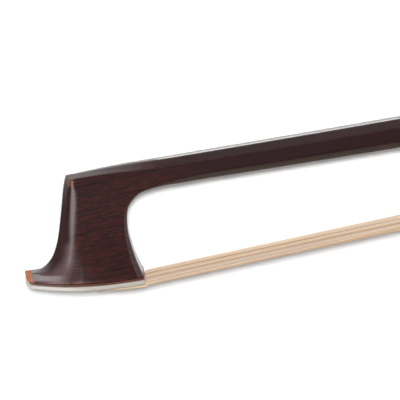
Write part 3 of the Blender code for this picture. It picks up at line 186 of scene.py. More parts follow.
class Value:
    """A number or colour socket. Sums on it add Math nodes."""

    def __init__(self, tree, socket):
        self.tree = tree
        self.socket = socket

    def math(self, operation, first, second):
        """A Math node on two values."""
        return self.tree.node("ShaderNodeMath", {"operation": operation}, {0: first, 1: second})

    def __add__(self, other):
        return self.math("ADD", self, other)

    def __sub__(self, other):
        return self.math("SUBTRACT", self, other)

    def __mul__(self, other):
        return self.math("MULTIPLY", self, other)

    def __rsub__(self, other):
        return self.math("SUBTRACT", other, self)

    __radd__ = __add__
    __rmul__ = __mul__

    def most(self, other):
        """The larger of two values."""
        return self.math("MAXIMUM", self, other)

    def smooth(self, low, high):
        """0 below low and 1 above high, with a gentle start and end."""
        return self.tree.node("ShaderNodeMapRange", {"interpolation_type": "SMOOTHSTEP"},
                              {"Value": self, "From Min": low, "From Max": high})


class Finish:
    """A material under construction, or the sky's colours when a world is given.

    Its place is a point of the piece in metres, or a direction in the sky.
    """

    def __init__(self, name, world=None):
        self.material = world or bpy.data.materials.new(name)
        self.material.use_nodes = True
        self.nodes = self.material.node_tree.nodes
        self.links = self.material.node_tree.links
        self.shader = self.nodes["Background" if world else "Principled BSDF"]
        self.place = self.node("ShaderNodeTexCoord", output="Generated" if world else "Object")

    def node(self, kind, settings=None, inputs=None, output=0):
        """Adds a node: its settings first, then the values or links of its sockets."""
        made = self.nodes.new(kind)
        for key, value in (settings or {}).items():
            if key == "stops":
                ramp = made.color_ramp
                while len(ramp.elements) < len(value):
                    ramp.elements.new(0.5)
                for element, (place, tone) in zip(ramp.elements, value):
                    element.position = place
                    element.color = (*tone, 1)
            else:
                setattr(made, key, value)
        for key, value in (inputs or {}).items():
            self.feed(made.inputs[key], value)
        return Value(self, made.outputs[output])

    def feed(self, socket, value):
        """Links a value to a socket, or sets it there."""
        if isinstance(value, Value):
            self.links.new(value.socket, socket)
        elif socket.type == "RGBA":
            socket.default_value = (*value, 1)
        else:
            socket.default_value = value

    def along(self, axis):
        """One coordinate of the place."""
        return self.node("ShaderNodeSeparateXYZ", inputs={0: self.place}, output=axis)

    def spread(self, scale, moved=(0, 0, 0)):
        """The place stretched along its axes and moved."""
        return self.node("ShaderNodeVectorMath", {"operation": "MULTIPLY_ADD"},
                         {0: self.place, 1: scale, 2: moved})

    def noise(self, scale, moved=(0, 0, 0), detail=3.0, rough=0.55, distortion=0.0):
        """Soft random values from 0 to 1, with a scale for each axis."""
        return self.node("ShaderNodeTexNoise", inputs={
            "Vector": self.spread(scale, moved), "Scale": 1.0, "Detail": detail, "Roughness": rough,
            "Distortion": distortion})

    def mix(self, factor, low, high):
        """A colour between two colours."""
        return self.node("ShaderNodeMix", {"data_type": "RGBA", "clamp_factor": True},
                         {0: factor, 6: low, 7: high}, output=2)

    def attribute(self, name):
        """A value that the mesh carries."""
        return self.node("ShaderNodeAttribute", {"attribute_name": name}, output="Fac")

    def ray(self, kind):
        """1 for one kind of ray and 0 for the others."""
        return self.node("ShaderNodeLightPath", output=kind)

    def relief(self, height, depth, strength):
        """A bump of a height from 0 to 1, so many metres deep."""
        return self.node("ShaderNodeBump", inputs={"Strength": strength, "Distance": depth, "Height": height})

    def done(self, **inputs):
        """Sets the shader's sockets by name and gives the material."""
        for key, value in inputs.items():
            self.feed(self.shader.inputs[key.replace("_", " ")], value)
        return self.material


def wood_finish():
    """Dark varnished wood: fine streaks along the stick, thin at its corners and bare at the nose, with a
    painted sheen on the head's front edge and nose.
    """
    made, tones = Finish("varnished_wood"), colours()
    dash = made.noise((430, 5000, 5000), detail=3.5, rough=0.65)
    thread = made.noise((95, 2100, 2100), (3, 1, 7), rough=0.65)
    cloud = made.noise((120, 260, 260))
    vein = made.noise((60, 1500, 900), (4, 8, 2), detail=2.0).smooth(0.56, 0.68)
    grain = dash * 0.5 + thread * 0.5
    in_head = 1 - made.along("X").smooth(HEAD.x + 1 * MM, HEAD.x + 22 * MM)
    base = made.mix(grain.smooth(0.37, 0.57), tones.wood_dark * 0.65, tones.wood)
    streak = dash.smooth(0.50, 0.64) * (0.45 + cloud.smooth(0.30, 0.66) * 0.55)
    base = made.mix(streak * (0.12 + in_head * 0.50), base, tones.wood_red)
    base = made.mix((1 - in_head) * 0.62, base, tones.wood_dark)
    base = made.mix(vein * in_head * 0.6, base, tones.wood_dark * 0.4)
    worn = made.attribute("worn")
    rub = (worn * (0.35 + dash.smooth(0.42, 0.66))).smooth(0.28, 0.95)
    base = made.mix(rub * 0.55, base, tones.wood_red)
    base = made.mix((worn * dash).smooth(0.42, 0.72) * 0.75, base, tones.wood_bare)
    # Painted sheen: the lilac-grey colour of the reflection, laid along the head's front edge and nose and
    # faintly on its front facets.
    painted_sheen_share = made.attribute("haze") * (0.55 + dash * 0.5)
    base = made.mix(painted_sheen_share * 0.92, base, tones.wood_painted_sheen)
    chip = (made.attribute("bare") + (thread - 0.5) * 0.25).smooth(0.35, 0.60)
    chipped = made.mix(dash.smooth(0.3, 0.8), tones.wood_bare, tones.wood_bare * 0.6)
    lost = chip.most(rub * 0.5)
    return made.done(
        Base_Color=made.mix(chip, base, chipped), Roughness=0.36 + cloud * 0.10 + lost * 0.22,
        Coat_Weight=(1 - lost) * 0.9, Coat_Roughness=0.265, Coat_IOR=1.6, Specular_IOR_Level=0.1,
        Normal=made.relief(grain, 0.05 * MM, 0.35))


def bone_finish():
    """Polished bone with fine pores drawn along it and faint yellow spots."""
    made, tones = Finish("tip_bone"), colours()
    pore = made.noise((260, 3200, 2600))
    stain = made.noise((330, 420, 330), (5, 2, 9), detail=2.0)
    base = made.mix(stain.smooth(0.54, 0.70) * 0.55, tones.bone, tones.bone_stain)
    base = made.mix(pore.smooth(0.58, 0.80) * 0.35, base, tones.bone * 0.62)
    return made.done(Base_Color=base, Roughness=0.32 + pore * 0.15, Coat_Weight=0.35, Coat_Roughness=0.15,
                     Normal=made.relief(pore, 0.03 * MM, 0.5))


def hair_finish():
    """Pale horsehair: each strand has its own tone, with darker stretches along it."""
    made, tones = Finish("pale_horsehair"), colours()
    drift = made.noise((70, 900, 500))
    dark = (made.attribute("tone") * 0.85 + drift * 0.3).smooth(0.25, 0.95)
    base = made.mix(dark, tones.hair, tones.hair_dark)
    band = made.noise((12, 1500, 480), (2, 3, 1), detail=2.5)
    base = made.mix(band.smooth(0.48, 0.62) * 0.8, base, tones.hair_grey)
    base = made.mix((1 - band.smooth(0.32, 0.46)) * 0.5, base, tones.hair_dark)
    scale = made.noise((2600, 6000, 6000), detail=2.0)
    return made.done(Base_Color=base, Roughness=0.40 + scale * 0.15, Specular_IOR_Level=0.4,
                     Normal=made.relief(scale, 0.01 * MM, 0.3))


def ebony_finish():
    """Polished ebony with faint brown streaks and closed pores."""
    made, brown = Finish("polished_ebony"), (0.040, 0.021, 0.014)
    streak = made.noise((60, 900, 700), detail=4.0, rough=0.6)
    pore = made.noise((500, 5200, 5200), detail=2.0)
    base = made.mix(streak.smooth(0.52, 0.72) * 0.6, colours().ebony, brown)
    return made.done(Base_Color=base, Roughness=0.24 + pore * 0.16, Coat_Weight=0.4, Coat_Roughness=0.12,
                     Normal=made.relief(pore, 0.02 * MM, 0.4))


def pale_wood_finish():
    """Bare soft wood with a straight open grain."""
    made, tone = Finish("plug_wood"), colours().pale_wood
    grain = made.noise((150, 2600, 900), detail=4.0, rough=0.65)
    base = made.mix(grain.smooth(0.35, 0.7), tone, tone * 0.55)
    return made.done(Base_Color=base, Roughness=0.6 + grain * 0.2,
                     Normal=made.relief(grain, 0.05 * MM, 0.6))


def veneer_finish():
    """Thin dyed veneer, seen from its edge."""
    made, tone = Finish("dyed_veneer"), colours().veneer
    grain = made.noise((700, 4200, 3000))
    base = made.mix(grain.smooth(0.35, 0.7), tone, tone * 0.5)
    return made.done(Base_Color=base, Roughness=0.45 + grain * 0.2,
                     Normal=made.relief(grain, 0.02 * MM, 0.4))


def metal_finish(name, tone, rough, scale, tarnish):
    """A worked metal: fine scratches in one direction and a breath of tarnish."""
    made = Finish(name)
    scratch = made.noise(scale, rough=0.7)
    cloud = made.noise((210, 260, 240))
    dulled = [bright * kept for bright, kept in zip(tone, tarnish)]
    base = made.mix(cloud.smooth(0.48, 0.75) * 0.5, tone, dulled)
    return made.done(Base_Color=base, Metallic=1.0, Normal=made.relief(scratch, 0.01 * MM, 0.25),
                     Roughness=rough + scratch * 0.16 + cloud.smooth(0.5, 0.8) * 0.1)


def silver_finish():
    """Polished silver, scratched along the bow."""
    return metal_finish("worked_silver", colours().silver, 0.14, (300, 2500, 2500), (0.62, 0.56, 0.48))


def brass_finish():
    """Turned brass."""
    return metal_finish("turned_brass", colours().brass, 0.22, (2600, 400, 400), (0.55, 0.42, 0.3))


def steel_finish():
    """Turned steel."""
    return metal_finish("turned_steel", colours().steel, 0.2, (2800, 300, 300), (0.6, 0.5, 0.42))


def pearl_finish():
    """Mother-of-pearl: wavy layers that turn from pink to green."""
    made = Finish("mother_of_pearl")
    swirl = made.noise((160, 190, 150), detail=2.0, distortion=1.8)
    fine = made.noise((700, 1500, 900), distortion=1.0)
    stops = [(0.30, (0.80, 0.62, 0.66)), (0.42, colours().pearl), (0.50, (0.50, 0.72, 0.66)),
             (0.58, (0.80, 0.82, 0.84)), (0.70, (0.55, 0.60, 0.78))]
    hue = made.node("ShaderNodeValToRGB", {"stops": stops}, {0: swirl * 0.8 + fine * 0.2})
    return made.done(Base_Color=hue, Roughness=0.14 + fine * 0.12, Coat_Weight=1.0, Coat_Roughness=0.05,
                     Normal=made.relief(swirl, 0.04 * MM, 0.3))


def leather_finish():
    """Smooth dark leather with a fine pebble, polished where the thumb rests."""
    made, tone = Finish("grip_leather"), colours().leather
    pebble = made.node("ShaderNodeTexVoronoi", {"feature": "DISTANCE_TO_EDGE"},
                       {"Vector": made.spread((2300, 2300, 2300)), "Scale": 1.0})
    worn = made.noise((120, 160, 160))
    base = made.mix(worn.smooth(0.45, 0.7), tone, (0.075, 0.042, 0.028))
    # Painted shade: the grooves between the pebbles are drawn darker.
    base = made.mix(1 - pebble.smooth(0.0, 0.12), base, tone * 0.5)
    return made.done(Base_Color=base, Roughness=0.62 - worn.smooth(0.45, 0.75) * 0.2,
                     Normal=made.relief(pebble.smooth(0.0, 0.18), 0.06 * MM, 0.7))


def silk_finish():
    """Dark red silk: each turn of thread a little different, dark in the grooves."""
    made, tone = Finish("lapping_silk"), colours().silk
    turns = made.noise((1500, 90, 90), detail=2.0)
    fibre = made.noise((9000, 1400, 1400), detail=2.0)
    base = made.mix(turns.smooth(0.3, 0.7), tone, tone * 0.55)
    base = made.mix(fibre.smooth(0.5, 0.8) * 0.5, base, (0.34, 0.07, 0.075))
    return made.done(Base_Color=base, Roughness=0.42 + fibre * 0.15,
                     Normal=made.relief(fibre, 0.02 * MM, 0.5))


def thread_finish():
    """Waxed binding thread, set with rosin."""
    made, rosin = Finish("waxed_thread"), (0.55, 0.30, 0.10)
    fibre = made.noise((4200, 4200, 1500), detail=2.0)
    base = made.mix(fibre.smooth(0.4, 0.7), colours().thread, rosin)
    return made.done(Base_Color=base, Roughness=0.45 + fibre * 0.2,
                     Normal=made.relief(fibre, 0.03 * MM, 0.6))


FINISH_MAKERS = {
    "dark_wood": wood_finish, "bone": bone_finish, "horsehair": hair_finish, "ebony": ebony_finish,
    "veneer": veneer_finish, "pale_wood": pale_wood_finish, "silver": silver_finish, "brass": brass_finish,
    "steel": steel_finish, "pearl": pearl_finish, "leather": leather_finish, "silk": silk_finish,
    "thread": thread_finish,
}
FINISHES = {}


def finish(name):
    """A finish by its name, made once."""
    if name not in FINISHES:
        FINISHES[name] = FINISH_MAKERS[name]()
    return FINISHES[name]


# Modelling helpers.

def between(low, high, part):
    """The value or point a share of the way from one to another."""
    return low + (high - low) * part


def even(low, high, count):
    """Values or points at so many even steps from one to another, both ends with them."""
    return [between(low, high, i / count) for i in range(count + 1)]


def smooth_step(part):
    """0 to 1 with a gentle start and end."""
    part = min(1.0, max(0.0, part))
    return part * part * (3 - 2 * part)


def through(knots, per_span=12):
    """Points or numbers on a smooth curve through the knots."""
    ends = [knots[0] * 2 - knots[1], *knots, knots[-1] * 2 - knots[-2]]
    found = []
    for before, here, there, after in zip(ends, ends[1:], ends[2:], ends[3:]):
        for step in range(per_span):
            t = step / per_span
            pull = (there - before) * t + (before * 2 - here * 5 + there * 4 - after) * t**2
            found.append(here + (pull + (here * 3 - before - there * 3 + after) * t**3) * 0.5)
    return found + [knots[-1]]


def spaced(points, count, start=0.0, end=1.0):
    """Points at even distances along a line of points, between two shares of its length."""
    lengths = [0.0]
    for first, second in zip(points, points[1:]):
        lengths.append(lengths[-1] + (second - first).length)
    found = []
    for part in even(start, end, count):
        want = lengths[-1] * part
        k = next(k for k in range(1, len(points)) if lengths[k] >= want - 1e-12)
        part = (want - lengths[k - 1]) / (lengths[k] - lengths[k - 1])
        found.append(between(points[k - 1], points[k], part))
    return found


def read_curve(knots, x):
    """A value read from a table of (place, value) in rising order of place."""
    x = min(max(x, knots[0][0]), knots[-1][0])
    k = next(k for k in range(1, len(knots)) if knots[k][0] >= x)
    (x0, y0), (x1, y1) = knots[k - 1], knots[k]
    return between(y0, y1, (x - x0) / (x1 - x0))


def direction_at(points, i):
    """The way from the point before one of a line to the point after it."""
    return points[min(i + 1, len(points) - 1)] - points[max(i - 1, 0)]


def linked(name, mesh):
    """An object that shows a mesh, in the scene."""
    made = bpy.data.objects.new(name, mesh)
    bpy.context.scene.collection.objects.link(made)
    return made


def dress(made, body, slot_name, stands_for, finish_name=None):
    """Gives a piece its finish, its slot, the body that it rides on and the nodes that it stands for.

    The finish has the slot's name unless another is given. A piece without a body is tied by its maker.
    """
    made.data.materials.clear()
    made.data.materials.append(finish(finish_name or slot_name))
    made.data.shade_smooth()
    made.data.set_sharp_from_angle(angle=SMOOTH_ANGLE)
    if body:
        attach(made, body)
    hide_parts(*stands_for)
    return made


def new_piece(name, mesh, body, slot_name, stands_for):
    """Links a finished mesh and dresses it."""
    return dress(linked(name, mesh), body, slot_name, stands_for)


def mesh_of(name, points, faces):
    """A mesh from points and faces, its normals turned outwards."""
    shape = bmesh.new()
    corners = [shape.verts.new(p) for p in points]
    for face in faces:
        shape.faces.new([corners[i] for i in face])
    bmesh.ops.recalc_face_normals(shape, faces=shape.faces)
    made = bpy.data.meshes.new(name)
    shape.to_mesh(made)
    shape.free()
    return made


def carry(mesh, name, values):
    """Gives the points of a mesh a value each, for its finish to read."""
    mesh.attributes.new(name, "FLOAT", "POINT").data.foreach_set("value", values)


def grid_faces(rows, columns, start=0):
    """Faces of a skin over closed rings of points, each ring as long as the others."""
    faces = []
    for r in range(rows - 1):
        for c in range(columns):
            d = (c + 1) % columns
            a, b = start + r * columns, start + (r + 1) * columns
            faces.append((a + c, a + d, b + d, b + c))
    return faces


def capped_grid(rings, start=0):
    """Points and faces of a skin over closed rings, with a cap at each end."""
    rows, columns = len(rings), len(rings[0])
    points = [p for ring in rings for p in ring]
    faces = grid_faces(rows, columns, start)
    faces.append(tuple(start + i for i in reversed(range(columns))))
    faces.append(tuple(start + (rows - 1) * columns + i for i in range(columns)))
    return points, faces


def skin_mesh(name, rings):
    """A closed skin over rings."""
    return mesh_of(name, *capped_grid(rings))


def sleeve_mesh(name, outer, inner):
    """A closed sleeve: outer rings, inner rings and the ring faces that join them at both ends."""
    rows, columns = len(outer), len(outer[0])
    points = [p for ring in outer + inner for p in ring]
    faces = grid_faces(rows, columns)
    base = rows * columns
    faces += [tuple(reversed(face)) for face in grid_faces(len(inner), columns, base)]
    last_in = base + (len(inner) - 1) * columns
    last_out = (rows - 1) * columns
    for c in range(columns):
        d = (c + 1) % columns
        faces.append((c, d, base + d, base + c))
        faces.append((last_out + d, last_out + c, last_in + c, last_in + d))
    return mesh_of(name, points, faces)


def tube_rings(points, radii, sides, up=Vector((0, 0, 1)), ridges=0, twist=0.0, depth=0.0):
    """Rings round a line of points, with as many twisted ridges as are asked for."""
    rings = []
    travelled = 0.0
    for i, point in enumerate(points):
        along = direction_at(points, i).normalized()
        side = along.cross(up).normalized()
        over = side.cross(along)
        if i:
            travelled += (point - points[i - 1]).length
        ring = []
        for k in range(sides):
            angle = 2 * math.pi * k / sides
            radius = radii[i] - depth * (0.5 - 0.5 * math.cos(ridges * angle - twist * travelled))
            ring.append(point + (side * math.cos(angle) + over * math.sin(angle)) * radius)
        rings.append(ring)
    return rings


def deselect_all():
    """Leaves nothing selected, in object mode."""
    if bpy.context.mode != "OBJECT":
        bpy.ops.object.mode_set(mode="OBJECT")
    bpy.ops.object.select_all(action="DESELECT")


def make_active(piece):
    """Selects one object alone."""
    deselect_all()
    piece.select_set(True)
    bpy.context.view_layer.objects.active = piece


def just_added(name):
    """The object that the last operator added, with its name set."""
    made = bpy.context.object
    made.name = name
    return made


def settle():
    """Applies the place of what is selected to its mesh."""
    bpy.ops.object.transform_apply(location=True, rotation=True, scale=True)


def edit_all():
    """Goes into edit mode with the whole mesh selected."""
    bpy.ops.object.mode_set(mode="EDIT")
    bpy.ops.mesh.select_all(action="SELECT")


def apply_all(piece):
    """Applies a piece's place and then its modifiers, in their order."""
    make_active(piece)
    settle()
    for modifier in list(piece.modifiers):
        bpy.ops.object.modifier_apply(modifier=modifier.name)


def cube_at(name, low, high, place=Matrix.Identity(4)):
    """A block between two corners, in the frame that place gives."""
    deselect_all()
    bpy.ops.mesh.primitive_cube_add(size=1)
    made = just_added(name)
    made.matrix_world = place @ Matrix.Translation((low + high) / 2) @ Matrix.Diagonal((*(high - low), 1))
    settle()
    return made


def handle_rod(name, start, end, radius, sides):
    """A round bar on the axis of the handle, between two places in millimetres from the butt."""
    deselect_all()
    bpy.ops.mesh.primitive_cylinder_add(vertices=sides, radius=radius, depth=(end - start) * MM)
    made = just_added(name)
    lying = Vector((1, 0, 0)).to_track_quat("Z", "Y").to_matrix().to_4x4()
    made.matrix_world = HANDLE @ Matrix.Translation(((start + end) / 2 * MM, 0, 0)) @ lying
    settle()
    return made


def carve(piece, operation, *tools):
    """Joins tools to a piece or cuts them out of it, and removes them."""
    for tool in tools:
        boolean = piece.modifiers.new(tool.name, "BOOLEAN")
        boolean.operation = operation
        boolean.object = tool
    apply_all(piece)
    for tool in tools:
        bpy.data.objects.remove(tool, do_unlink=True)


def ease(piece, width, segments, degrees):
    """Rounds the edges of a piece that are sharper than an angle."""
    bevel = piece.modifiers.new("eased", "BEVEL")
    bevel.width = width
    bevel.segments = segments
    bevel.limit_method = "ANGLE"
    bevel.angle_limit = math.radians(degrees)
    apply_all(piece)


# The stick and its head, measured from the lower rear edge of the tip plate.

STICK_END = 707.9 * MM
HANDLE_START = STICK_END - 168 * MM
CONSTANT_HANDLE = 110 * MM
TIP_DIAMETER = 5.2 * MM
HANDLE_DIAMETER = 8.5 * MM
TAPER_SHIFT = 175 * MM
TIP_AXIS = 20.45 * MM
TIP_SLOPE = 0.0565
CAMBER_RADIUS = 5.65
HEAD_ROOT = 20 * MM
PLATE_LENGTH = 22.3 * MM
PLATE_HALF_WIDTH = 5.05 * MM
PLATE_THICKNESS = 0.82 * MM
PLATE_RISE = 0.055
PLATE_SWEEP = 1.95 * MM
LINER_THICKNESS = 0.35 * MM
GLUE_GAP = 0.12 * MM
NOSE_HEIGHT = 5.2 * MM
NOSE_HALF_WIDTH = 1.05 * MM
NOSE_TURN = 1.0 * MM
NOSE_FOOT = -21.4 * MM
NOSE_THINNING = ((0.45, 0.50 * MM), (0.8, 0.36 * MM), (1.0, 0.22 * MM))
PEAK_DROP, PEAK_INSET, PEAK_HALF_WIDTH = 0.58 * MM, 1.15 * MM, 0.36 * MM
RIDGE_HALF_WIDTH, RIDGE_ROUND, CHEEK_ROUND, RIM_ROUND = 0.3 * MM, 0.22 * MM, 0.45 * MM, 0.25 * MM
THROAT_CHAMFER, FOOT_CHAMFER = 0.6 * MM, 1.1 * MM
SEAT_SHARE, SEAT_EDGE_SHARE = 0.97, 0.985
LINER_WIDTH_SHARE, LINER_LENGTH_SHARE = 0.99, 0.955
MORTISE = (Vector((-9.9, -2, -3.3)) * MM, Vector((-3.7, 5.9, 3.3)) * MM)

# How finely the stick is divided: columns round half a section, rows along the head and the rest, and the
# share of the throat that the rows of the top take.
FACE_COLUMNS, FACET_COLUMNS, CHEEK_COLUMNS, CHAMFER_COLUMNS, ROUND_STEPS = 3, 7, 26, 3, 4
TOP_ROWS, FRONT_ROWS, NOSE_ROWS = 56, 104, 7
CAMBER_ROWS, HANDLE_ROWS, PLATE_ROWS, TURN_ROWS = 84, 10, 30, 8
THROAT_TURN = 0.52


def axis_height(x):
    """Height of the stick's axis."""
    bent = min(x, HANDLE_START)
    slope = HANDLE_START / CAMBER_RADIUS - TIP_SLOPE
    return TIP_AXIS - TIP_SLOPE * bent + bent**2 / (2 * CAMBER_RADIUS) + max(0.0, x - HANDLE_START) * slope


def axis_angle(x):
    """Direction of the stick's axis."""
    return math.atan(min(x, HANDLE_START) / CAMBER_RADIUS - TIP_SLOPE)


def stick_diameter(x):
    """Distance across the flats of the octagon."""
    tapered = STICK_END - CONSTANT_HANDLE
    part = math.log((min(max(x, 0.0), tapered) + TAPER_SHIFT) / TAPER_SHIFT)
    return between(TIP_DIAMETER, HANDLE_DIAMETER, part / math.log((tapered + TAPER_SHIFT) / TAPER_SHIFT))


def plate_face(x):
    """Height of the outer face of the tip plate."""
    back = max(0.0, -x)
    return PLATE_RISE * back + PLATE_SWEEP * (back / PLATE_LENGTH) ** 2


def plate_slope(x):
    """Angle of the plate's outer face."""
    return math.atan(PLATE_RISE + 2 * PLATE_SWEEP * max(0.0, -x) / PLATE_LENGTH**2)


PLATE_OUTLINE = [(p.x * PLATE_LENGTH, p.y * PLATE_HALF_WIDTH) for p in through([
    Vector((-1.0, 0.208)), Vector((-0.94, 0.38)), Vector((-0.83, 0.58)), Vector((-0.70, 0.775)),
    Vector((-0.57, 0.905)), Vector((-0.42, 0.98)), Vector((-0.25, 1.0)), Vector((0.02, 0.965))])]


def plate_half_width(x):
    """Half width of the tip plate."""
    return read_curve(PLATE_OUTLINE, x)


def head_seat(x):
    """Height at which the wood of the head ends, above the plate and its liner."""
    return plate_face(x) + PLATE_THICKNESS + LINER_THICKNESS + 2 * GLUE_GAP


def cheek_half_width(point):
    """Half width of the head: the stick's own at the top, flaring to the plate's."""
    seat = head_seat(point.x)
    rise = TIP_AXIS - TIP_DIAMETER / 2 - seat
    flare = max(0.0, 1 - max(0.0, point.y - seat) / rise) ** 2.2
    return between(stick_diameter(point.x) / 2, plate_half_width(point.x), flare)


def on_cheek(point):
    """The point of the cheek's face over a point of the side view."""
    return Vector((point.x, point.y, cheek_half_width(point)))


def stick_point(x, up, side):
    """A point of the section at x: so far up from the axis and so far to the side."""
    angle = axis_angle(x)
    return Vector((x - math.sin(angle) * up, axis_height(x) + math.cos(angle) * up, side))


def millimetres(*pairs):
    """Points of a side view from millimetres."""
    return [Vector((x * MM, y * MM, 0)) for x, y in pairs]


# Lines of the side view, from the top down: the front ridge, the edge of the cheek behind it, the middle of
# the painted sheen and, from the stick to the plate, the throat.
RIDGE = through(millimetres(
    (-10.3, 23.2), (-11.23, 21.0), (-12.69, 16.47), (-13.95, 12.76), (-15.0, 10.21), (-16.29, 8.12),
    (-17.95, 6.66), (-19.9, 6.02), (-22.1, 6.26)))
SHOULDER = through(millimetres(
    (-9.3, 22.62), (-10.0, 19.6), (-10.45, 17.4), (-11.15, 14.6), (-11.85, 11.8), (-12.6, 9.2), (-13.45, 6.8),
    (-14.4, 5.0), (-15.4, 3.5)))
PAINTED_SHEEN_LINE = through(millimetres((-12.6, 9.6), (-13.4, 7.2), (-15.0, 5.3), (-17.2, 4.4), (-18.8, 4.6)))
UNDERSIDE = TIP_AXIS - TIP_DIAMETER / 2
THROAT_FOOT = 0.29 * MM
THROAT = through([
    *[stick_point(x, -stick_diameter(x) / 2, 0) for x in (HEAD_ROOT, 12 * MM, 7.4 * MM)],
    Vector((3.36 * MM, 0.957 * UNDERSIDE, 0)), Vector((1.22 * MM, 0.888 * UNDERSIDE, 0)),
    Vector((-0.06 * MM, 0.790 * UNDERSIDE, 0)), Vector((-0.80 * MM, 0.570 * UNDERSIDE, 0)),
    Vector((-0.49 * MM, 0.290 * UNDERSIDE, 0)), Vector((THROAT_FOOT, head_seat(THROAT_FOOT), 0))])


def fillet(before, corner, after, reach):
    """Points of a rounded corner, from one side of it to the other."""
    start, end = [corner + (far - corner) * min(0.48, reach / max(1e-9, (far - corner).length))
                  for far in (before, after)]
    return [start * (1 - t) ** 2 + corner * 2 * t * (1 - t) + end * t**2 for t in even(0, 1, ROUND_STEPS)]


def section(corners, rounds, flared):
    """Half a section of the stick or head, as points from the middle of its top to that of its underside.

    The four corners run from the rim at the top to the rim at the underside, and rounds says how far each is
    rounded. Where the section is flared, the cheek between the middle two follows the flare.
    """
    top, foot = [Vector((rim.x, rim.y, 0)) for rim in (corners[0], corners[-1])]
    stops = [top, *corners, foot]
    chains = [fillet(*stops[i:i + 3], rounds[i]) for i in range(4)]
    line = list(chains[0])
    for last, chain, columns in zip(chains, chains[1:], (FACET_COLUMNS, CHEEK_COLUMNS, CHAMFER_COLUMNS)):
        line += even(last[-1], chain[0], columns)[1:-1] + chain
    if flared:
        first = 2 * ROUND_STEPS + FACET_COLUMNS + 1
        above, below = chains[1][-1], chains[2][0]
        for i in range(CHEEK_COLUMNS + 1):
            point, part = line[first + i], i / CHEEK_COLUMNS
            straight = between(cheek_half_width(above), cheek_half_width(below), part)
            point.z = between(above.z, below.z, part) + cheek_half_width(point) - straight
    return even(top, line[0], FACE_COLUMNS)[:-1] + line + even(line[-1], foot, FACE_COLUMNS)[1:]


def octagon_section(x):
    """Half the octagon of the stick at x."""
    radius = stick_diameter(x) / 2
    side = radius * OCTAGON_SIDE
    corners = [stick_point(x, up, out) for up, out in (
        (radius, side), (side, radius), (-side, radius), (-radius, side))]
    return section(corners, [sizes().edge_round] * 4, False)


def low_corners(line, i, depth):
    """The lower two corners of a section of the head: the end of the cheek and the rim of the throat."""
    along = direction_at(line, i)
    edge = on_cheek(line[i] + Vector((along.y, -along.x, 0)).normalized() * depth)
    return edge, Vector((line[i].x, line[i].y, edge.z - depth))


def top_sections():
    """Half sections from the octagon of the stick to the peak."""
    edge_round = sizes().edge_round
    full = stick_diameter(HEAD_ROOT) / 2
    facet = full * (1 - OCTAGON_SIDE)
    top = [stick_point(x, stick_diameter(x) / 2, 0) for x in (HEAD_ROOT, HEAD_ROOT / 2, 0.0)]
    top = spaced(through(top + [RIDGE[0]]), TOP_ROWS)
    throat = spaced(THROAT, TOP_ROWS, 0, THROAT_TURN)
    found = []
    for i in range(TOP_ROWS):
        part = i / TOP_ROWS
        near = smooth_step((part - 0.35) / 0.65)
        rim = Vector((top[i].x, top[i].y, between(full * OCTAGON_SIDE, PEAK_HALF_WIDTH, part**2)))
        edge = on_cheek(top[i] + Vector((near * PEAK_INSET, -between(facet, PEAK_DROP, near), 0)))
        depth = between(facet, THROAT_CHAMFER, smooth_step(part * 1.1 - 0.1))
        rounds = [edge_round, between(edge_round, CHEEK_ROUND, part), edge_round, edge_round]
        found.append(section([rim, edge, *low_corners(throat, i, depth)], rounds, True))
    return found


def front_sections():
    """Half sections from the peak down the front ridge to the nose and the plate."""
    throat = spaced(THROAT, FRONT_ROWS, THROAT_TURN, 1)
    shoulder = spaced(SHOULDER, FRONT_ROWS)
    ridge = spaced(RIDGE, FRONT_ROWS - NOSE_ROWS)
    foot = Vector((NOSE_FOOT, head_seat(NOSE_FOOT), 0))
    tip = ridge[-1]
    nose = [tip, tip + Vector((0.02, -0.5, 0)) * MM, *millimetres((-22.02, 5.1), (-21.75, 4.4)), foot]
    ridge += spaced(through(nose, 8), NOSE_ROWS)[1:]
    found = []
    for i in range(FRONT_ROWS + 1):
        part = i / FRONT_ROWS
        late = smooth_step((part - 0.70) / 0.28)
        seated = max(0.0, (i - FRONT_ROWS + NOSE_ROWS) / NOSE_ROWS)
        side = between(RIDGE_HALF_WIDTH, NOSE_HALF_WIDTH, late)
        side = between(side, SEAT_SHARE * plate_half_width(ridge[i].x), seated)
        depth = between(THROAT_CHAMFER, FOOT_CHAMFER, smooth_step((part - 0.3) * 1.4))
        rim = Vector((ridge[i].x, ridge[i].y, side))
        corners = [rim, on_cheek(shoulder[i]), *low_corners(throat, i, depth)]
        if i == FRONT_ROWS:
            seat_points(corners)
        front_round = between(CHEEK_ROUND, sizes().front_round, smooth_step(part / 0.18)) * (1 + 1.5 * late)
        half = section(corners, [RIDGE_ROUND, front_round, RIDGE_ROUND, RIM_ROUND], True)
        flush = smooth_step((part - 0.60) / 0.40)
        count = 2 * ROUND_STEPS + FACET_COLUMNS
        at_foot, at_end = SEAT_SHARE * plate_half_width(foot.x), plate_half_width(SHOULDER[-1].x)
        for k in range(count + 1):
            x, straight = between(foot.x, SHOULDER[-1].x, k / count), between(at_foot, at_end, k / count)
            half[FACE_COLUMNS + k].z += flush * (SEAT_EDGE_SHARE * plate_half_width(x) - straight)
        if i == FRONT_ROWS:
            seat_points(half)
        found.append(half)
    return found


def seat_points(points):
    """Sets points down on the seat of the head."""
    for point in points:
        point.y = head_seat(point.x)


# Marks in the side view, in millimetres: the worn peak, the start of the painted sheen on the front facets,
# the chipped nose.
PEAK_X, PEAK_Y, FACETS_X, CHIP_X = -9.9, 22.5, -9.8, -20.9


def wear_of(point, column, in_head):
    """How much the varnish is rubbed at a point of the head."""
    x, y = point.x / MM, point.y / MM
    peak = math.exp(-((x - PEAK_X) ** 2 + (y - PEAK_Y) ** 2) / 1.9)
    front = math.exp(-((column - FACE_COLUMNS - FACET_COLUMNS - 1.5 * ROUND_STEPS) / 4.5) ** 2) * in_head
    foot = math.exp(-max(0.0, y - head_seat(point.x) / MM) / 0.35) * in_head
    return min(1.0, 0.95 * peak + 0.42 * front + 0.75 * foot + 0.12)


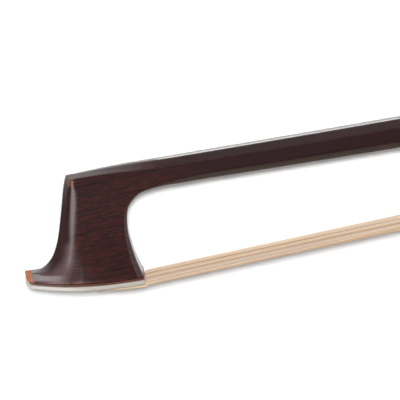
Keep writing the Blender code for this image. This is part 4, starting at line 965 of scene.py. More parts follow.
def painted_sheen_of(point, column, in_head):
    """How much painted sheen a point of the head gets: a little on the front facets, most where they turn
    into the nose.
    """
    place = Vector((point.x, point.y, 0))
    nearest = min(range(len(PAINTED_SHEEN_LINE)), key=lambda i: (PAINTED_SHEEN_LINE[i] - place).length)
    width = between(1.0, 1.6, min(1.0, 2 * nearest / len(PAINTED_SHEEN_LINE))) * MM
    # A faint painted sheen over the middle of the front facets past their start; the strong one lies along
    # its line and widens towards the nose.
    facet = math.exp(-((column - FACE_COLUMNS - ROUND_STEPS - FACET_COLUMNS / 2) / 5.0) ** 2)
    facet *= 0.17 * smooth_step(FACETS_X - place.x / MM)
    return in_head * max(facet, math.exp(-((PAINTED_SHEEN_LINE[nearest] - place).length / width) ** 2))


def bareness_of(point):
    """How far the varnish is chipped away at the nose."""
    return 1 - smooth_step((point.x / MM - CHIP_X + 0.05 * (point.y / MM - 5)) / 0.5 + 0.5)


def stick_mesh():
    """The wood of the head and the stick, from the plate to the butt."""
    head = (top_sections() + front_sections())[::-1]
    stations = even(HEAD_ROOT, HANDLE_START, CAMBER_ROWS)[1:] + even(HANDLE_START, STICK_END, HANDLE_ROWS)[1:]
    halves = head + [octagon_section(x) for x in stations]
    rings = [half + [Vector((p.x, p.y, -p.z)) for p in reversed(half[1:-1])] for half in halves]
    mesh = skin_mesh("stick_wood", [[HEAD + p for p in ring] for ring in rings])
    # Each point carries its wear, its bareness and its painted sheen, for the finish to read.
    worn, bare, haze = [], [], []
    for row, ring in enumerate(rings):
        in_head = float(row < len(head))
        for k, point in enumerate(ring):
            column = min(k, len(ring) - k)
            worn.append(wear_of(point, column, in_head))
            haze.append(painted_sheen_of(point, column, in_head))
            bare.append(bareness_of(point))
    carry(mesh, "worn", worn)
    carry(mesh, "bare", bare)
    carry(mesh, "haze", haze)
    return mesh


def mortise_block():
    """The space of the plug mortise through the plate, the liner and the wood."""
    low, high = MORTISE
    return cube_at("mortise_space", HEAD + low, HEAD + high)


# The nipple at the butt, the screw's bore and the eyelet's slot. Places along the handle are in millimetres.
NIPPLE_START, NIPPLE_END, NIPPLE_RADIUS = -2, 2.6, 2.5 * MM
BORE_START, BORE_END, BORE_RADIUS = -75, 4, 1.65 * MM
SLOT = (Vector((-36.9, -9, -2.5)) * MM, Vector((-24.3, 2.8, 2.5)) * MM)


class BOW_OT_stick(bpy.types.Operator):
    """Models the wood of the head and the stick, with its mortise, slot, bore and nipple"""

    bl_idname = "bow.stick"
    bl_label = "Stick and head"

    def execute(self, context):
        piece = linked("stick_wood", stick_mesh())
        carve(piece, "UNION", handle_rod("nipple", NIPPLE_START, NIPPLE_END, NIPPLE_RADIUS, 40))
        bore = handle_rod("bore", BORE_START, BORE_END, BORE_RADIUS, 32)
        carve(piece, "DIFFERENCE", bore, cube_at("slot", *SLOT, HANDLE), mortise_block())
        dress(piece, "stick", "dark_wood", ["stick"])
        return {"FINISHED"}


def off_face(angle):
    """The direction straight off a strip that leans at an angle."""
    return Vector((math.sin(angle), math.cos(angle), 0))


def nose_states(centre, slope, thickness):
    """States of the plate where it turns up round the nose and thins out."""
    pivot = centre + off_face(slope) * NOSE_TURN
    found = []
    for part in even(0, 1, TURN_ROWS)[1:]:
        angle = between(slope, math.pi / 2, part)
        thin = between(thickness, 0.75 * thickness, part)
        centre = pivot - off_face(angle) * (NOSE_TURN + (thickness - thin) / 2)
        found.append((centre, angle, plate_half_width(centre.x), thin))
    rise = NOSE_HEIGHT - centre.y
    outer = centre.x - thin / 2
    for part, thin in NOSE_THINNING:
        place = Vector((outer + thin / 2, centre.y + rise * part, 0))
        found.append((place, math.pi / 2, NOSE_HALF_WIDTH * between(1.0, 0.9, part), thin))
    return found


def swept_strip(name, lift, thickness, width_share, stop, hook):
    """A strip that follows the plate's face, modelled by extruding one end of a thin block along it.

    lift is how far its lower face stands off the plate's outer face, stop where it ends before the nose, and
    hook whether it turns up there. Each state is a centre, an angle, a half width and a thickness.
    """
    states = []
    for x in even(0.012 * PLATE_LENGTH, -stop, PLATE_ROWS):
        slope = plate_slope(x)
        centre = Vector((x, plate_face(x), 0)) + off_face(slope) * (lift + thickness / 2)
        states.append((centre, slope, plate_half_width(x) * width_share, thickness))
    if hook:
        states += nose_states(centre, slope, thickness)
    deselect_all()
    first, slope, half, thick = states[0]
    bpy.ops.mesh.primitive_plane_add(size=1, location=HEAD + first, rotation=(0, math.pi / 2, 0))
    made = just_added(name)
    settle()
    edit_all()
    bpy.ops.transform.resize(value=(1, thick, 2 * half), center_override=HEAD + first)
    turn_selected(-slope, HEAD + first)
    for (last, last_angle, _, _), (centre, angle, half, thick) in zip(states, states[1:]):
        bpy.ops.mesh.extrude_region_move(TRANSFORM_OT_translate={"value": centre - last})
        turn_selected(last_angle - angle, HEAD + centre)
        up = off_face(angle)
        shape = bmesh.from_edit_mesh(made.data)
        for vert in [v for v in shape.verts if v.select]:
            off = vert.co - HEAD - centre
            side = Vector((0, 0, math.copysign(half, off.z)))
            vert.co = HEAD + centre + up * math.copysign(thick / 2, off.dot(up)) + side
        bmesh.update_edit_mesh(made.data)
    bpy.ops.object.mode_set(mode="OBJECT")
    shape = bmesh.new()
    shape.from_mesh(made.data)
    bmesh.ops.holes_fill(shape, edges=shape.edges)
    bmesh.ops.recalc_face_normals(shape, faces=shape.faces)
    shape.to_mesh(made.data)
    shape.free()
    return made


def turn_selected(angle, centre):
    """Turns what is selected about Z, towards +Y for a positive angle, round a centre."""
    bpy.ops.transform.rotate(value=-angle, orient_axis="Z", center_override=centre)


class BOW_OT_tip_plate(bpy.types.Operator):
    """Models the bone facing of the head and the dark veneer over it"""

    bl_idname = "bow.tip_plate"
    bl_label = "Tip plate and liner"

    def execute(self, context):
        hook_lean = math.sin(plate_slope(NOSE_TURN - PLATE_LENGTH))
        stop = PLATE_LENGTH - (PLATE_THICKNESS / 2 + NOSE_TURN) * (1 - hook_lean)
        plate = swept_strip("plate_bone", 0.0, PLATE_THICKNESS, 1.0, stop, True)
        carve(plate, "DIFFERENCE", mortise_block())
        ease(plate, 0.14 * MM, 3, 30)
        dress(plate, "stick", "bone", ["tip_plate"])
        lift, stop = PLATE_THICKNESS + GLUE_GAP, LINER_LENGTH_SHARE * PLATE_LENGTH
        liner = swept_strip("liner_veneer", lift, LINER_THICKNESS, LINER_WIDTH_SHARE, stop, False)
        carve(liner, "DIFFERENCE", mortise_block())
        dress(liner, "stick", "ebony", ["tip_liner"], "veneer")
        return {"FINISHED"}


# The hair. Places in the frog are in millimetres from its heel, up from the axis of the stick.

LOCKS = 7
STRAND_SIDES = 5
HAIR_HEIGHT = -20.535
FERRULE_MOUTH = -46.3
HAIR_THICKNESS, PRESSED_THICKNESS = 1.25 * MM, 0.65 * MM
MORTISE_HALF_WIDTH, HEAD_HALF_WIDTH, FROG_HALF_WIDTH = 3.0 * MM, 4.6 * MM, 4.9 * MM


def from_frog(x, y):
    """A point of the frog, measured from the head."""
    return FROG_AXIS @ Vector((x * MM, y * MM, 0)) - HEAD


def strand_mesh(name, path, layers, radius, seed):
    """Strands of hair that follow (centre, half width, thickness) steps, gathered in locks."""
    rng = random.Random(seed)
    columns = sizes().strand_columns
    points, faces, tones = [], [], []
    centres = [centre for centre, _, _ in path]
    steps = []
    for i, (centre, half, thick) in enumerate(path):
        along = direction_at(centres, i)
        steps.append((centre, Vector((-along.y, along.x, 0)).normalized(), half, thick))
    lock_tones = [rng.uniform(-0.30, 0.34) for _ in range(LOCKS)]
    for layer in range(layers):
        for column in range(columns):
            across = ((column + 0.5 + 0.5 * (layer % 2 - 0.5)) / columns) * 2 - 1
            lock = min(LOCKS - 1, int((across + 1) / 2 * LOCKS))
            centre_of_lock = (lock + 0.5) / LOCKS * 2 - 1
            depth = ((layer + 0.5) / layers) * 2 - 1
            crown = 1 - 0.20 * abs(across - centre_of_lock) * LOCKS
            phase, other = rng.uniform(0, 6.28), rng.uniform(0, 6.28)
            pace, drift = rng.uniform(14, 34), rng.uniform(0.008, 0.026)
            lift = rng.uniform(-0.09, 0.09)
            size = radius * rng.uniform(0.85, 1.12)
            tone = min(1.0, max(0.0, 0.36 + lock_tones[lock] + rng.gauss(0, 0.30)))
            line = []
            for centre, up, half, thick in steps:
                x = centre.x
                a = across + drift * math.sin(phase + x * pace) + 0.010 * math.sin(other + x * pace * 2.3)
                a = max(-1.0, min(1.0, a + (centre_of_lock - across) * 0.07))
                b = depth * crown + lift + 0.07 * math.sin(other + x * pace * 1.4)
                room = max(0.0, thick / 2 - size)
                line.append(centre + Vector((0, 0, a * (half - size))) + up * max(-1.0, min(1.0, b)) * room)
            rings = tube_rings([HEAD + point for point in line], [size] * len(line), STRAND_SIDES)
            more_points, more_faces = capped_grid(rings, len(points))
            points += more_points
            faces += more_faces
            tones += [tone] * len(more_points)
    mesh = bpy.data.meshes.new(name)
    mesh.from_pydata(points, [], faces)
    mesh.update()
    carry(mesh, "tone", tones)
    return mesh


def ribbon_path():
    """Centre, half width and thickness of the hair from the tip mortise to inside the ferrule."""
    leg, fold, pressed = -9.455 * MM, MORTISE_HALF_WIDTH, PRESSED_THICKNESS
    path = [
        (Vector((leg, 3.66 * MM, 0)), fold, pressed),
        (Vector((leg, plate_face(leg) + PLATE_THICKNESS, 0)), fold, pressed),
        (Vector((leg + 0.08 * MM, plate_face(leg) + 0.2 * MM, 0)), fold, pressed),
        (Vector((leg + 0.26 * MM, plate_face(leg) - 0.16 * MM, 0)), fold, 0.95 * pressed),
    ]
    for part in even(0, 1, 8):
        x = between(-8.87 * MM, 0.3 * MM, part)
        width = between(3.2 * MM, HEAD_HALF_WIDTH, smooth_step(part) ** 0.8)
        path.append((Vector((x, plate_face(x) - GLUE_GAP - pressed / 2, 0)), width, pressed))
    path.append((Vector((0.52 * MM, -0.25 * MM, 0)), HEAD_HALF_WIDTH, 0.95 * MM))
    path.append((Vector((0.75 * MM, -0.02 * MM, 0)), HEAD_HALF_WIDTH, 1.22 * MM))
    leave, mouth = Vector((1.5 * MM, 0.025 * MM, 0)), from_frog(FERRULE_MOUTH, HAIR_HEIGHT)
    for part in even(0, 1, 22):
        width = between(HEAD_HALF_WIDTH, FROG_HALF_WIDTH, part)
        path.append((between(leave, mouth, part), width, HAIR_THICKNESS))
    path.append((from_frog(-45.0, HAIR_HEIGHT), FROG_HALF_WIDTH, 1.2 * MM))
    path.append((from_frog(-44.5, HAIR_HEIGHT), 4.85 * MM, 1.15 * MM))
    return path


class BOW_OT_hair(bpy.types.Operator):
    """Models the ribbon of horsehair as separate strands in locks"""

    bl_idname = "bow.hair"
    bl_label = "Hair ribbon"

    def execute(self, context):
        size = sizes()
        mesh = strand_mesh("hair_strands", ribbon_path(), size.strand_layers, size.strand_radius, seed=11)
        piece = new_piece("hair_strands", mesh, None, "horsehair", ["hair_ribbon"])
        mouth = HEAD + from_frog(FERRULE_MOUTH, HAIR_HEIGHT)
        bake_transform(piece, "stick", "frog", start=HEAD + Vector((4 * MM, 0, 0)), end=mouth)
        return {"FINISHED"}


# The route of the hair inside the frog: place, half width and thickness, in millimetres.
HAIR_IN_FROG = (
    (-44.15, -20.535, 4.55, 0.82), (-41.0, -20.535, 4.55, 0.82), (-38.1, -20.535, 4.55, 0.82),
    (-37.1, -20.1, 4.5, 0.82), (-36.1, -19.665, 4.45, 0.85), (-34.0, -19.665, 4.1, 0.9),
    (-32.0, -19.665, 3.85, 0.9), (-26.0, -19.665, 3.85, 0.9), (-25.2, -19.4, 3.85, 0.8),
    (-24.85, -18.7, 3.85, 0.8), (-24.775, -17.9, 3.85, 0.85), (-24.775, -15.7, 3.85, 0.88),
)
KNOT_PITCH = 0.42 * MM


def bound_knot(name, centre, half_length, radius, body, stands_for):
    """The bound end of the hair: a roll of thread turns over a tapered core, across the bow."""
    half = Vector((0, 0, half_length))
    turns = round(2 * half_length / KNOT_PITCH)
    rows = [((i + part) / turns, swell) for i in range(turns)
            for part, swell in ((0.0, 0.80), (0.25, 0.95), (0.5, 1.0), (0.75, 0.95))]
    rows.append((1.0, 0.80))
    line = [between(centre - half, centre + half, part) for part, _ in rows]
    rings = tube_rings(line, [radius * swell for _, swell in rows], 20, Vector((0, 1, 0)))
    new_piece(name, skin_mesh(name, rings), body, "thread", stands_for)


class BOW_OT_knots_and_ends(bpy.types.Operator):
    """Models the bound knots of the hair and the hair inside the frog"""

    bl_idname = "bow.knots_and_ends"
    bl_label = "Knots and hair in the frog"

    def execute(self, context):
        in_tip, in_frog = Vector((-8.465, 5.03, 0)) * MM, from_frog(-25.22, -14.42)
        bound_knot("tip_thread", HEAD + in_tip, 2.95 * MM, 0.74 * MM, "stick", ["tip_knot"])
        bound_knot("frog_thread", HEAD + in_frog, 3.85 * MM, 0.89 * MM, "frog", ["frog_knot"])
        path = [(from_frog(x, y), half * MM, thick * MM) for x, y, half, thick in HAIR_IN_FROG]
        mesh = strand_mesh("hair_in_frog", path, layers=4, radius=0.115 * MM, seed=23)
        new_piece("hair_in_frog", mesh, "frog", "horsehair", ["frog_hair_end"])
        return {"FINISHED"}


# The grip, the screw and the button, measured along the handle from its butt.

LEATHER_REAR, LEATHER_FRONT = -58.0 * MM, -88.0 * MM
SILK_REAR, SILK_FRONT = -88.3 * MM, -156.3 * MM
LEATHER_THICKNESS, SILK_THICKNESS, UNDER_GRIP = 0.75 * MM, 0.35 * MM, 0.15 * MM
SKIVE_FRONT, SKIVE_REAR = 3 * MM, 1.6 * MM
TINSEL_TURNS, TINSEL_POINTS, TINSEL_END = 20, 64, 3 * MM
TINSEL_GAP, TINSEL_TWIST, TINSEL_GROOVE = 0.06 * MM, 0.9 * MM, 0.085 * MM
SCREW_COLUMNS, THREAD_ROWS, FADE_ROWS = 24, 8, 12
THREAD_START, THREAD_END = -50.5 * MM, -14 * MM
SCREW_RADIUS, THREAD_DEPTH, THREAD_PITCH = 1.35 * MM, 0.2 * MM, 0.7 * MM
BUTTON_FLAT, CORNER_CUT, COLLAR_BORE, COLLAR_MOUTH = 4.35 * MM, 0.07, 3.8 * MM, 2.92 * MM
BEAD_PLACES, BEAD_HALF_WIDTH, GROOVE_SHARE = (0.22, 0.78), 0.42 * MM, 0.035


def on_handle(s, reach, angle):
    """A point at s along the handle, so far from its axis."""
    return HANDLE @ Vector((s, reach * math.cos(angle), reach * math.sin(angle)))


def handle_ring(s, columns, reach):
    """A ring of points round the handle at s, where reach gives the distance from the axis for an angle."""
    angles = [2 * math.pi * k / columns for k in range(columns)]
    return [on_handle(s, reach(angle), angle) for angle in angles]


def octagon_reach(flat, angle, soft, swell=0.25):
    """Distance from the axis to an octagon whose corners are softened outside an angle from each flat."""
    off_flat = abs((angle + math.pi / 8) % (math.pi / 4) - math.pi / 8)
    return flat / math.cos(min(off_flat, soft)) * (1 + swell * max(0.0, off_flat - soft))


def flat_of(s):
    """Half the distance across the flats at s, to the inside of the grip."""
    return stick_diameter(STICK_END + s) / 2 + UNDER_GRIP


def wrap(name, stations, columns, soft, swell, slot_name, stands_for):
    """A sleeve round the handle from (place, thickness) stations."""
    outer = [handle_ring(s, columns, lambda angle: octagon_reach(flat_of(s) + thickness, angle, soft)
                         + swell(s, angle)) for s, thickness in stations]
    inner = [handle_ring(s, columns, lambda angle: octagon_reach(flat_of(s), angle, math.pi / 8))
             for s in (stations[0][0], stations[-1][0])]
    new_piece(name, sleeve_mesh(name, outer, inner), "stick", slot_name, stands_for)


def leather_swell(s, angle):
    """The overlap of the leather along its seam, and its slight unevenness."""
    seam = math.radians(112) + 0.25 * math.sin((s - LEATHER_FRONT) / (LEATHER_REAR - LEATHER_FRONT) * 2.2)
    past = (angle - seam) % (2 * math.pi)
    ends = smooth_step((s - LEATHER_FRONT) / (2.4 * MM)) * smooth_step((LEATHER_REAR - s) / (1.2 * MM))
    overlap = 0.20 * MM * (1 - smooth_step(past / 0.9)) * smooth_step(past / 0.05)
    wave = 0.03 * MM * math.sin(3 * angle + s * 260) + 0.02 * MM * math.sin(5 * angle - s * 610)
    return (overlap + wave - 0.07 * MM) * ends


class BOW_OT_grip(bpy.types.Operator):
    """Models the thumb leather, the turns of silk and the tinsel wound over them"""

    bl_idname = "bow.grip"
    bl_label = "Leather, silk and tinsel"

    def execute(self, context):
        leather = []
        for s in even(LEATHER_FRONT, LEATHER_REAR, 60):
            front = between(0.30, 1, smooth_step((s - LEATHER_FRONT) / SKIVE_FRONT))
            rear = between(0.72, 1, smooth_step((LEATHER_REAR - s) / SKIVE_REAR))
            leather.append((s, LEATHER_THICKNESS * min(front, rear)))
        wrap("leather_wrap", leather, 120, 0.30, leather_swell, "leather", ["thumb_leather"])
        turns = round((SILK_REAR - SILK_FRONT) / sizes().silk_pitch)
        silk = [(SILK_FRONT, 0.5 * SILK_THICKNESS)]
        for i in range(turns):
            for part, height in ((0.18, 0.90), (0.5, 1.0), (0.82, 0.90), (1.0, 0.66)):
                silk.append((between(SILK_FRONT, SILK_REAR, (i + part) / turns), SILK_THICKNESS * height))
        wrap("silk_turns", silk, 40, 0.32, lambda s, angle: 0.0, "silk", ["silk_lapping"])
        self.wind_tinsel()
        return {"FINISHED"}

    def wind_tinsel(self):
        """Winds the twisted tinsel over the silk."""
        radius, line = sizes().tinsel_radius, []
        places = even(SILK_FRONT + TINSEL_END, SILK_REAR - TINSEL_END, TINSEL_TURNS * TINSEL_POINTS)
        for i, s in enumerate(places):
            angle = 2 * math.pi * i / TINSEL_POINTS
            flat = flat_of(s) + SILK_THICKNESS + radius + TINSEL_GAP
            line.append(on_handle(s, octagon_reach(flat, angle, math.pi / 8 - 0.08, 0), angle))
        radii = [radius * min(1.0, 0.25 + 0.15 * min(i, len(line) - 1 - i)) for i in range(len(line))]
        axis = (HANDLE.to_3x3() @ Vector((1, 0, 0))).normalized()
        rings = tube_rings(line, radii, 9, axis, 3, 2 * math.pi / TINSEL_TWIST, TINSEL_GROOVE)
        new_piece("tinsel_strand", skin_mesh("tinsel_strand", rings), "stick", "silver", ["tinsel_winding"])


def drawn_out(name, outline, stations):
    """A solid drawn along the handle: an outline of (up, side) points, extruded and resized at each station.

    A station is a place and a scale.
    """
    deselect_all()
    bpy.ops.mesh.primitive_circle_add(vertices=len(outline), radius=1, fill_type="NGON")
    made = just_added(name)
    start, first_scale = stations[0]
    for vert, (up, side) in zip(made.data.vertices, outline):
        vert.co = (start, up * first_scale, side * first_scale)
    edit_all()
    for (x0, k0), (x1, k1) in zip(stations, stations[1:]):
        bpy.ops.mesh.extrude_region_move(TRANSFORM_OT_translate={"value": (x1 - x0, 0, 0)})
        if k1 != k0:
            bpy.ops.transform.resize(value=(1, k1 / k0, k1 / k0), center_override=(x1, 0, 0))
    bpy.ops.mesh.select_all(action="SELECT")
    bpy.ops.mesh.normals_make_consistent(inside=False)
    bpy.ops.object.mode_set(mode="OBJECT")
    made.matrix_world = HANDLE
    settle()
    return made


def octagon(flat, cut):
    """An octagon of (up, side) points with its corners cut back by a small angle."""
    points = []
    for i in range(8):
        corner = math.pi / 8 + i * math.pi / 4
        for lean in (-cut, 0, cut):
            reach = flat / math.cos(math.pi / 8 - abs(lean)) * (1 if lean else 1 - 0.25 * cut)
            points.append((reach * math.cos(corner + lean), reach * math.sin(corner + lean)))
    return points


def mirrored_about(middle, stations):
    """Stations turned round a place, in rising order."""
    return [(2 * middle - x, scale) for x, scale in reversed(stations)]


def beaded(start, end):
    """Stations of a turned collar: eased ends and round beads beside fine grooves."""
    lip = [(start + x * MM, 1 - low * GROOVE_SHARE) for x, low in ((0, 1.6), (0.12, 0.5), (0.32, 0))]
    stations = list(lip)
    for place in BEAD_PLACES:
        centre = between(start, end, place)
        side = [(centre - out * BEAD_HALF_WIDTH, 1 - low * GROOVE_SHARE)
                for out, low in ((1, 0), (0.82, 1), (0.62, 1), (0.45, 0.25))]
        stations += [*side, (centre, 1.004), *mirrored_about(centre, side)]
    return stations + mirrored_about((start + end) / 2, lip)


def thread_rings():
    """Rings of a screw thread along the handle's axis, fading out at both ends."""
    count = round((THREAD_END - THREAD_START) / THREAD_PITCH * THREAD_ROWS)
    rings = []
    for i, s in enumerate(even(THREAD_START, THREAD_END, count)):
        fade = min(1.0, i / FADE_ROWS, (count - i) / FADE_ROWS)

        def reach(angle):
            phase = ((s - THREAD_START) / THREAD_PITCH - angle / (2 * math.pi)) % 1.0
            return SCREW_RADIUS - THREAD_DEPTH * fade * smooth_step(abs(phase - 0.5) * 2.5 - 0.1)

        rings.append(handle_ring(s, SCREW_COLUMNS, reach))
    return rings


def plain_rings(*pairs):
    """Round rings on the handle's axis from (place, radius) pairs in millimetres."""
    return [handle_ring(s * MM, SCREW_COLUMNS, lambda angle: radius * MM) for s, radius in pairs]


# Node of each collar: its piece, its two ends, and the ends of the wide bore in it, in millimetres.
COLLARS = {
    "button_collar_front": ("collar_front", 0.3, 4.1, 0.9, 5.1),
    "button_collar_rear": ("collar_rear", 9.6, 13.4, 8.6, 12.68),
}


class BOW_OT_screw_and_button(bpy.types.Operator):
    """Models the threaded screw and the button with its beaded collars"""

    bl_idname = "bow.screw_and_button"
    bl_label = "Screw and button"

    def execute(self, context):
        rings = plain_rings((-74, 0.45), (-73.2, 0.8), (-52, 0.85), (-51, 1.1))
        rings += thread_rings()
        rings += plain_rings((-13.5, SCREW_RADIUS / MM), (9.6, SCREW_RADIUS / MM))
        new_piece("threaded_screw", skin_mesh("threaded_screw", rings), "screw", "steel", ["adjusting_screw"])
        for node_name, (name, low, high, near, far) in COLLARS.items():
            piece = drawn_out(name, octagon(BUTTON_FLAT, CORNER_CUT), beaded(low * MM, high * MM))
            inside = handle_rod("inside", near, far, COLLAR_BORE, 48)
            mouth = handle_rod("mouth", low - 1, high + 1, COLLAR_MOUTH, 48)
            carve(piece, "DIFFERENCE", inside, mouth)
            dress(piece, "screw", "silver", [node_name])
        eased_copy("button_core", "core_ebony", "screw", "ebony", 0.08, 6.0)
        return {"FINISHED"}


# The frog.

FLAT_AREA = 30.0
FERRULE_FRONT = -46
FERRULE_HALF_WIDTH, FERRULE_LOW, FERRULE_TOP = 6.2 * MM, -22 * MM, -14 * MM
FERRULE_SHOULDER, FERRULE_CORNER, LEAST_CORNER = -18.6 * MM, 0.8 * MM, 0.25 * MM
FERRULE_OUTSIDE = (
    (0, 0.20), (0.06, 0.08), (0.2, 0), (0.85, 0), (0.93, 0.07), (1.07, 0.07), (1.15, 0), (5.25, -0.02),
    (9.35, 0), (9.43, 0.07), (9.57, 0.07), (9.65, 0), (10.3, 0), (10.44, 0.08), (10.5, 0.20),
)
FERRULE_INSIDE = ((0, 0.5), (0.12, 0.6), (10.38, 0.6), (10.5, 0.5))

# Node of each eased piece: its name, its slot and the width of its eased edges in millimetres.
EASED_NODES = {
    "frog_block": ("frog_ebony", "ebony", 0.10),
    "slide_pearl": ("slide_face", "pearl", 0.12),
    "heel_foot": ("foot_plate", "silver", 0.12),
    "heel_upright": ("upright_plate", "silver", 0.12),
    "frog_underslide": ("lining_plate", "silver", 0.06),
}


def eased_copy(node_name, name, body, slot_name, width, flat_area):
    """A copy of a CAD node with eased edges, whose faces over an area in square millimetres stay flat."""
    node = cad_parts[node_name]
    mesh = node.data.copy()
    mesh.transform(node.matrix_world)
    mesh.name = name
    for group in list(mesh.attributes):
        if group.name in {"custom_normal", "sharp_face", "sharp_edge"}:
            mesh.attributes.remove(group)
    made = linked(name, mesh)
    make_active(made)
    edit_all()
    bpy.ops.mesh.remove_doubles(threshold=0.0005 * MM)
    bpy.ops.mesh.dissolve_limited(angle_limit=math.radians(0.5))
    bpy.ops.mesh.normals_make_consistent(inside=False)
    bpy.ops.object.mode_set(mode="OBJECT")
    ease(made, width * MM, 2, 40)
    dress(made, body, slot_name, [node_name])
    for face in made.data.polygons:
        if face.area > flat_area * MM**2:
            face.use_smooth = False


def ferrule_section(inset):
    """The ferrule's D section as (up, side) points from the stick's axis, shrunk by an inset."""
    half, low, top = FERRULE_HALF_WIDTH - inset, FERRULE_LOW + inset, FERRULE_TOP - inset
    corner = max(FERRULE_CORNER - inset, LEAST_CORNER)
    right = [(low + corner + corner * math.sin(angle), half - corner + corner * math.cos(angle))
             for angle in even(-math.pi / 2, 0, 6)]
    right += [(between(FERRULE_SHOULDER, top, math.sin(angle)), half * math.cos(angle))
              for angle in even(0, math.pi / 2, 25)[:-1]]
    return right + [(top, 0)] + [(up, -side) for up, side in reversed(right)]


def ferrule_rings(steps):
    """Sections of the ferrule at (place, inset) steps in millimetres."""
    rings = []
    for x, inset in steps:
        rings.append([HEAD + from_frog(FERRULE_FRONT + x, up / MM) + Vector((0, 0, side))
                      for up, side in ferrule_section(inset * MM)])
    return rings


class BOW_OT_frog(bpy.types.Operator):
    """Eases the edges of the frog's pieces and draws the ferrule"""

    bl_idname = "bow.frog"
    bl_label = "Frog and ferrule"

    def execute(self, context):
        for node_name, (name, slot_name, width) in EASED_NODES.items():
            eased_copy(node_name, name, "frog", slot_name, width, FLAT_AREA)
        mesh = sleeve_mesh("ferrule_tube", ferrule_rings(FERRULE_OUTSIDE), ferrule_rings(FERRULE_INSIDE))
        new_piece("ferrule_tube", mesh, "frog", "silver", ["ferrule"])
        return {"FINISHED"}


# The finish of each CAD piece that stays as it is.
CARRIED_NODES = {
    "pale_wood": ("tip_plug", "spread_wedge", "frog_plug"),
    "brass": ("frog_eyelet",),
    "ebony": ("slide_backing",),
    "pearl": ("eye_pearl_upper", "eye_pearl_lower", "button_pearl"),
    "silver": ("underslide_pin_front", "underslide_pin_rear", "heel_pin_foot", "heel_pin_low",
               "heel_pin_high", "eye_ring_upper", "eye_ring_lower"),
}


class BOW_OT_carried_pieces(bpy.types.Operator):
    """Gives the CAD pieces that stay their finishes"""

    bl_idname = "bow.carried_pieces"
    bl_label = "Carried-over pieces"

    def execute(self, context):
        for finish_name, names in CARRIED_NODES.items():
            for name in names:
                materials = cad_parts[name].data.materials
                materials.clear()
                materials.append(finish(finish_name))
        return {"FINISHED"}


# The stage.

def floor_finish(tone, glow_share):
    """A pale floor that keeps its shadows. It glows for the camera, and reflections see its left end dark."""
    made = Finish("pale_floor")
    mirrored = made.ray("Is Glossy Ray")
    straight = made.ray("Is Camera Ray").most(mirrored).most(made.ray("Is Transmission Ray"))
    lit = 1 - mirrored * (1 - made.along("X").smooth(HEAD.x - 40 * MM, HEAD.x - 14 * MM))
    diffuse = made.node("ShaderNodeBsdfDiffuse", inputs={"Color": made.mix(lit, (0, 0, 0), tone)})
    strength = straight * lit * glow_share
    glow = made.node("ShaderNodeEmission", inputs={"Color": (1, 1, 1), "Strength": strength})
    both = made.node("ShaderNodeAddShader", inputs={0: diffuse, 1: glow})
    made.feed(made.nodes["Material Output"].inputs["Surface"], both)
    return made.material


def studio_world(sky):
    """White to the camera, an even fill, and for reflections a dark left, a bright right and a grey top."""
    made = Finish("studio", bpy.data.worlds.new("studio"))
    side, back, rise = made.along("X"), made.along("Y"), made.along("Z")
    level = 0.075 + side.smooth(0.5, 0.95) * 0.9 - (0 - side).smooth(0.6, 0.95) * 0.06
    level = (level + back.smooth(0.5, 0.95) * 0.2) * (0.6 + rise.smooth(-0.2, 0.5) * 0.4)
    fill = made.mix(made.ray("Is Diffuse Ray"), level, (sky, sky, sky))
    return made.done(Color=made.mix(made.ray("Is Camera Ray"), fill, (1, 1, 1)))


def lamp(name, target, direction, distance, width, height, watts, mirrored=False):
    """A soft lamp that faces a point. It lights the bow, or only shows in its reflections when mirrored."""
    light = bpy.data.lights.new(name, "AREA")
    light.shape = "RECTANGLE"
    light.size, light.size_y = width, height
    light.energy = watts
    made = linked(name, light)
    direction = Vector(direction).normalized()
    made.location = Vector(target) + direction * distance
    made.rotation_euler = direction.to_track_quat("Z", "Y").to_euler()
    made.visible_glossy = mirrored
    made.visible_diffuse = not mirrored
    return made


# The floor, and the camera's aim from the plate's rear edge: across and up the picture, and off the floor.
FLOOR_SIZE, FLOOR_DROP = 9, 0.05 * MM
AIM_ACROSS, AIM_UP, AIM_HEIGHT = 10.81 * MM, 16.18 * MM, 4.5 * MM


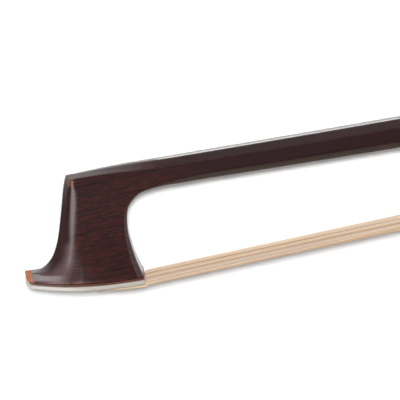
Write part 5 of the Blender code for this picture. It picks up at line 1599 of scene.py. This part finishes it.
class BOW_OT_stage(bpy.types.Operator):
    """Lays the floor, sets the lamps, the sky and the camera"""

    bl_idname = "bow.stage"
    bl_label = "Stage and camera"

    def execute(self, context):
        scene = context.scene
        stage = scene.bow_stage
        deselect_all()
        bpy.ops.mesh.primitive_plane_add(size=FLOOR_SIZE, location=(0, 0, -FLOOR_DROP))
        floor = just_added("floor")
        settle()
        floor.data.materials.append(floor_finish(stage.floor, stage.glow))
        scene.view_settings.view_transform = "Standard"
        scene.world = studio_world(stage.sky)
        lamp("key_lamp", (0, 0, 0), (-0.035, 0.30, 0.953), 4.0, 0.60, 0.50, stage.key)
        lamp("soft_lamp", (0, 0, 0), (0.0, 0.80, 0.60), 3.2, 5.2, 2.4, stage.soft)
        lamp("sheen_card", HEAD, (-0.66, -0.2, 0.73), 2.4, 1.9, 1.7, stage.sheen, True)
        over = HEAD + Vector((108, 28, -6.2)) * MM
        strip = lamp("edge_card", over, (0, 0, 1), 0.02 * MM, 0.2, 0.008, stage.edge, True)
        strip.rotation_euler = (math.pi, 0, -0.03)
        self.set_camera(scene, stage)
        return {"FINISHED"}

    def set_camera(self, scene, stage):
        """Puts the camera where the photograph was taken from."""
        lean, roll = stage.tilt, stage.roll
        towards = Vector((0, math.sin(lean), math.cos(lean)))
        rise = Vector((0, math.cos(lean), -math.sin(lean)))
        along = Vector((1, 0, 0))
        right = along * math.cos(roll) - rise * math.sin(roll)
        up = along * math.sin(roll) + rise * math.cos(roll)
        middle = HEAD + Vector((0, 0, AIM_HEIGHT)) + right * AIM_ACROSS + up * AIM_UP
        camera = bpy.data.cameras.new("camera")
        camera.lens, camera.sensor_width = 200, 36
        camera.clip_start, camera.clip_end = 0.02, 50
        made = linked("camera", camera)
        place = Matrix.Translation(middle + towards * stage.distance)
        made.matrix_world = place @ Matrix((right, up, towards)).transposed().to_4x4()
        scene.camera = made


OPERATORS = (
    BOW_OT_stage, BOW_OT_stick, BOW_OT_tip_plate, BOW_OT_hair, BOW_OT_knots_and_ends, BOW_OT_grip,
    BOW_OT_frog, BOW_OT_screw_and_button, BOW_OT_carried_pieces,
)
GROUPS = {"bow_sizes": BowSizes, "bow_colours": BowColours, "bow_stage": BowStage}


class BOW_PT_panel(bpy.types.Panel):
    """Lists the pieces of the bow and their sizes and colours"""

    bl_idname = "BOW_PT_panel"
    bl_label = "Violin bow"
    bl_space_type = "VIEW_3D"
    bl_region_type = "UI"
    bl_category = "Bow"

    def draw(self, context):
        for operator in OPERATORS:
            self.layout.operator(operator.bl_idname)
        for name in GROUPS:
            group = getattr(context.scene, name)
            box = self.layout.box()
            for key in group.bl_rna.properties.keys():
                if key not in {"rna_type", "name"}:
                    box.prop(group, key)


def register():
    """Registers the groups, the operators and the panel."""
    for made in (*GROUPS.values(), *OPERATORS, BOW_PT_panel):
        bpy.utils.register_class(made)
    for name, group in GROUPS.items():
        setattr(bpy.types.Scene, name, bpy.props.PointerProperty(type=group))


def unregister():
    """Takes back what register added."""
    for name in GROUPS:
        delattr(bpy.types.Scene, name)
    for made in (BOW_PT_panel, *reversed(OPERATORS), *GROUPS.values()):
        bpy.utils.unregister_class(made)


def main():
    """Makes every piece in turn."""
    register()
    bpy.ops.bow.stage()
    bpy.ops.bow.stick()
    bpy.ops.bow.tip_plate()
    bpy.ops.bow.hair()
    bpy.ops.bow.knots_and_ends()
    bpy.ops.bow.grip()
    bpy.ops.bow.frog()
    bpy.ops.bow.screw_and_button()
    bpy.ops.bow.carried_pieces()
    deselect_all()


if __name__ == "__main__":
    main()
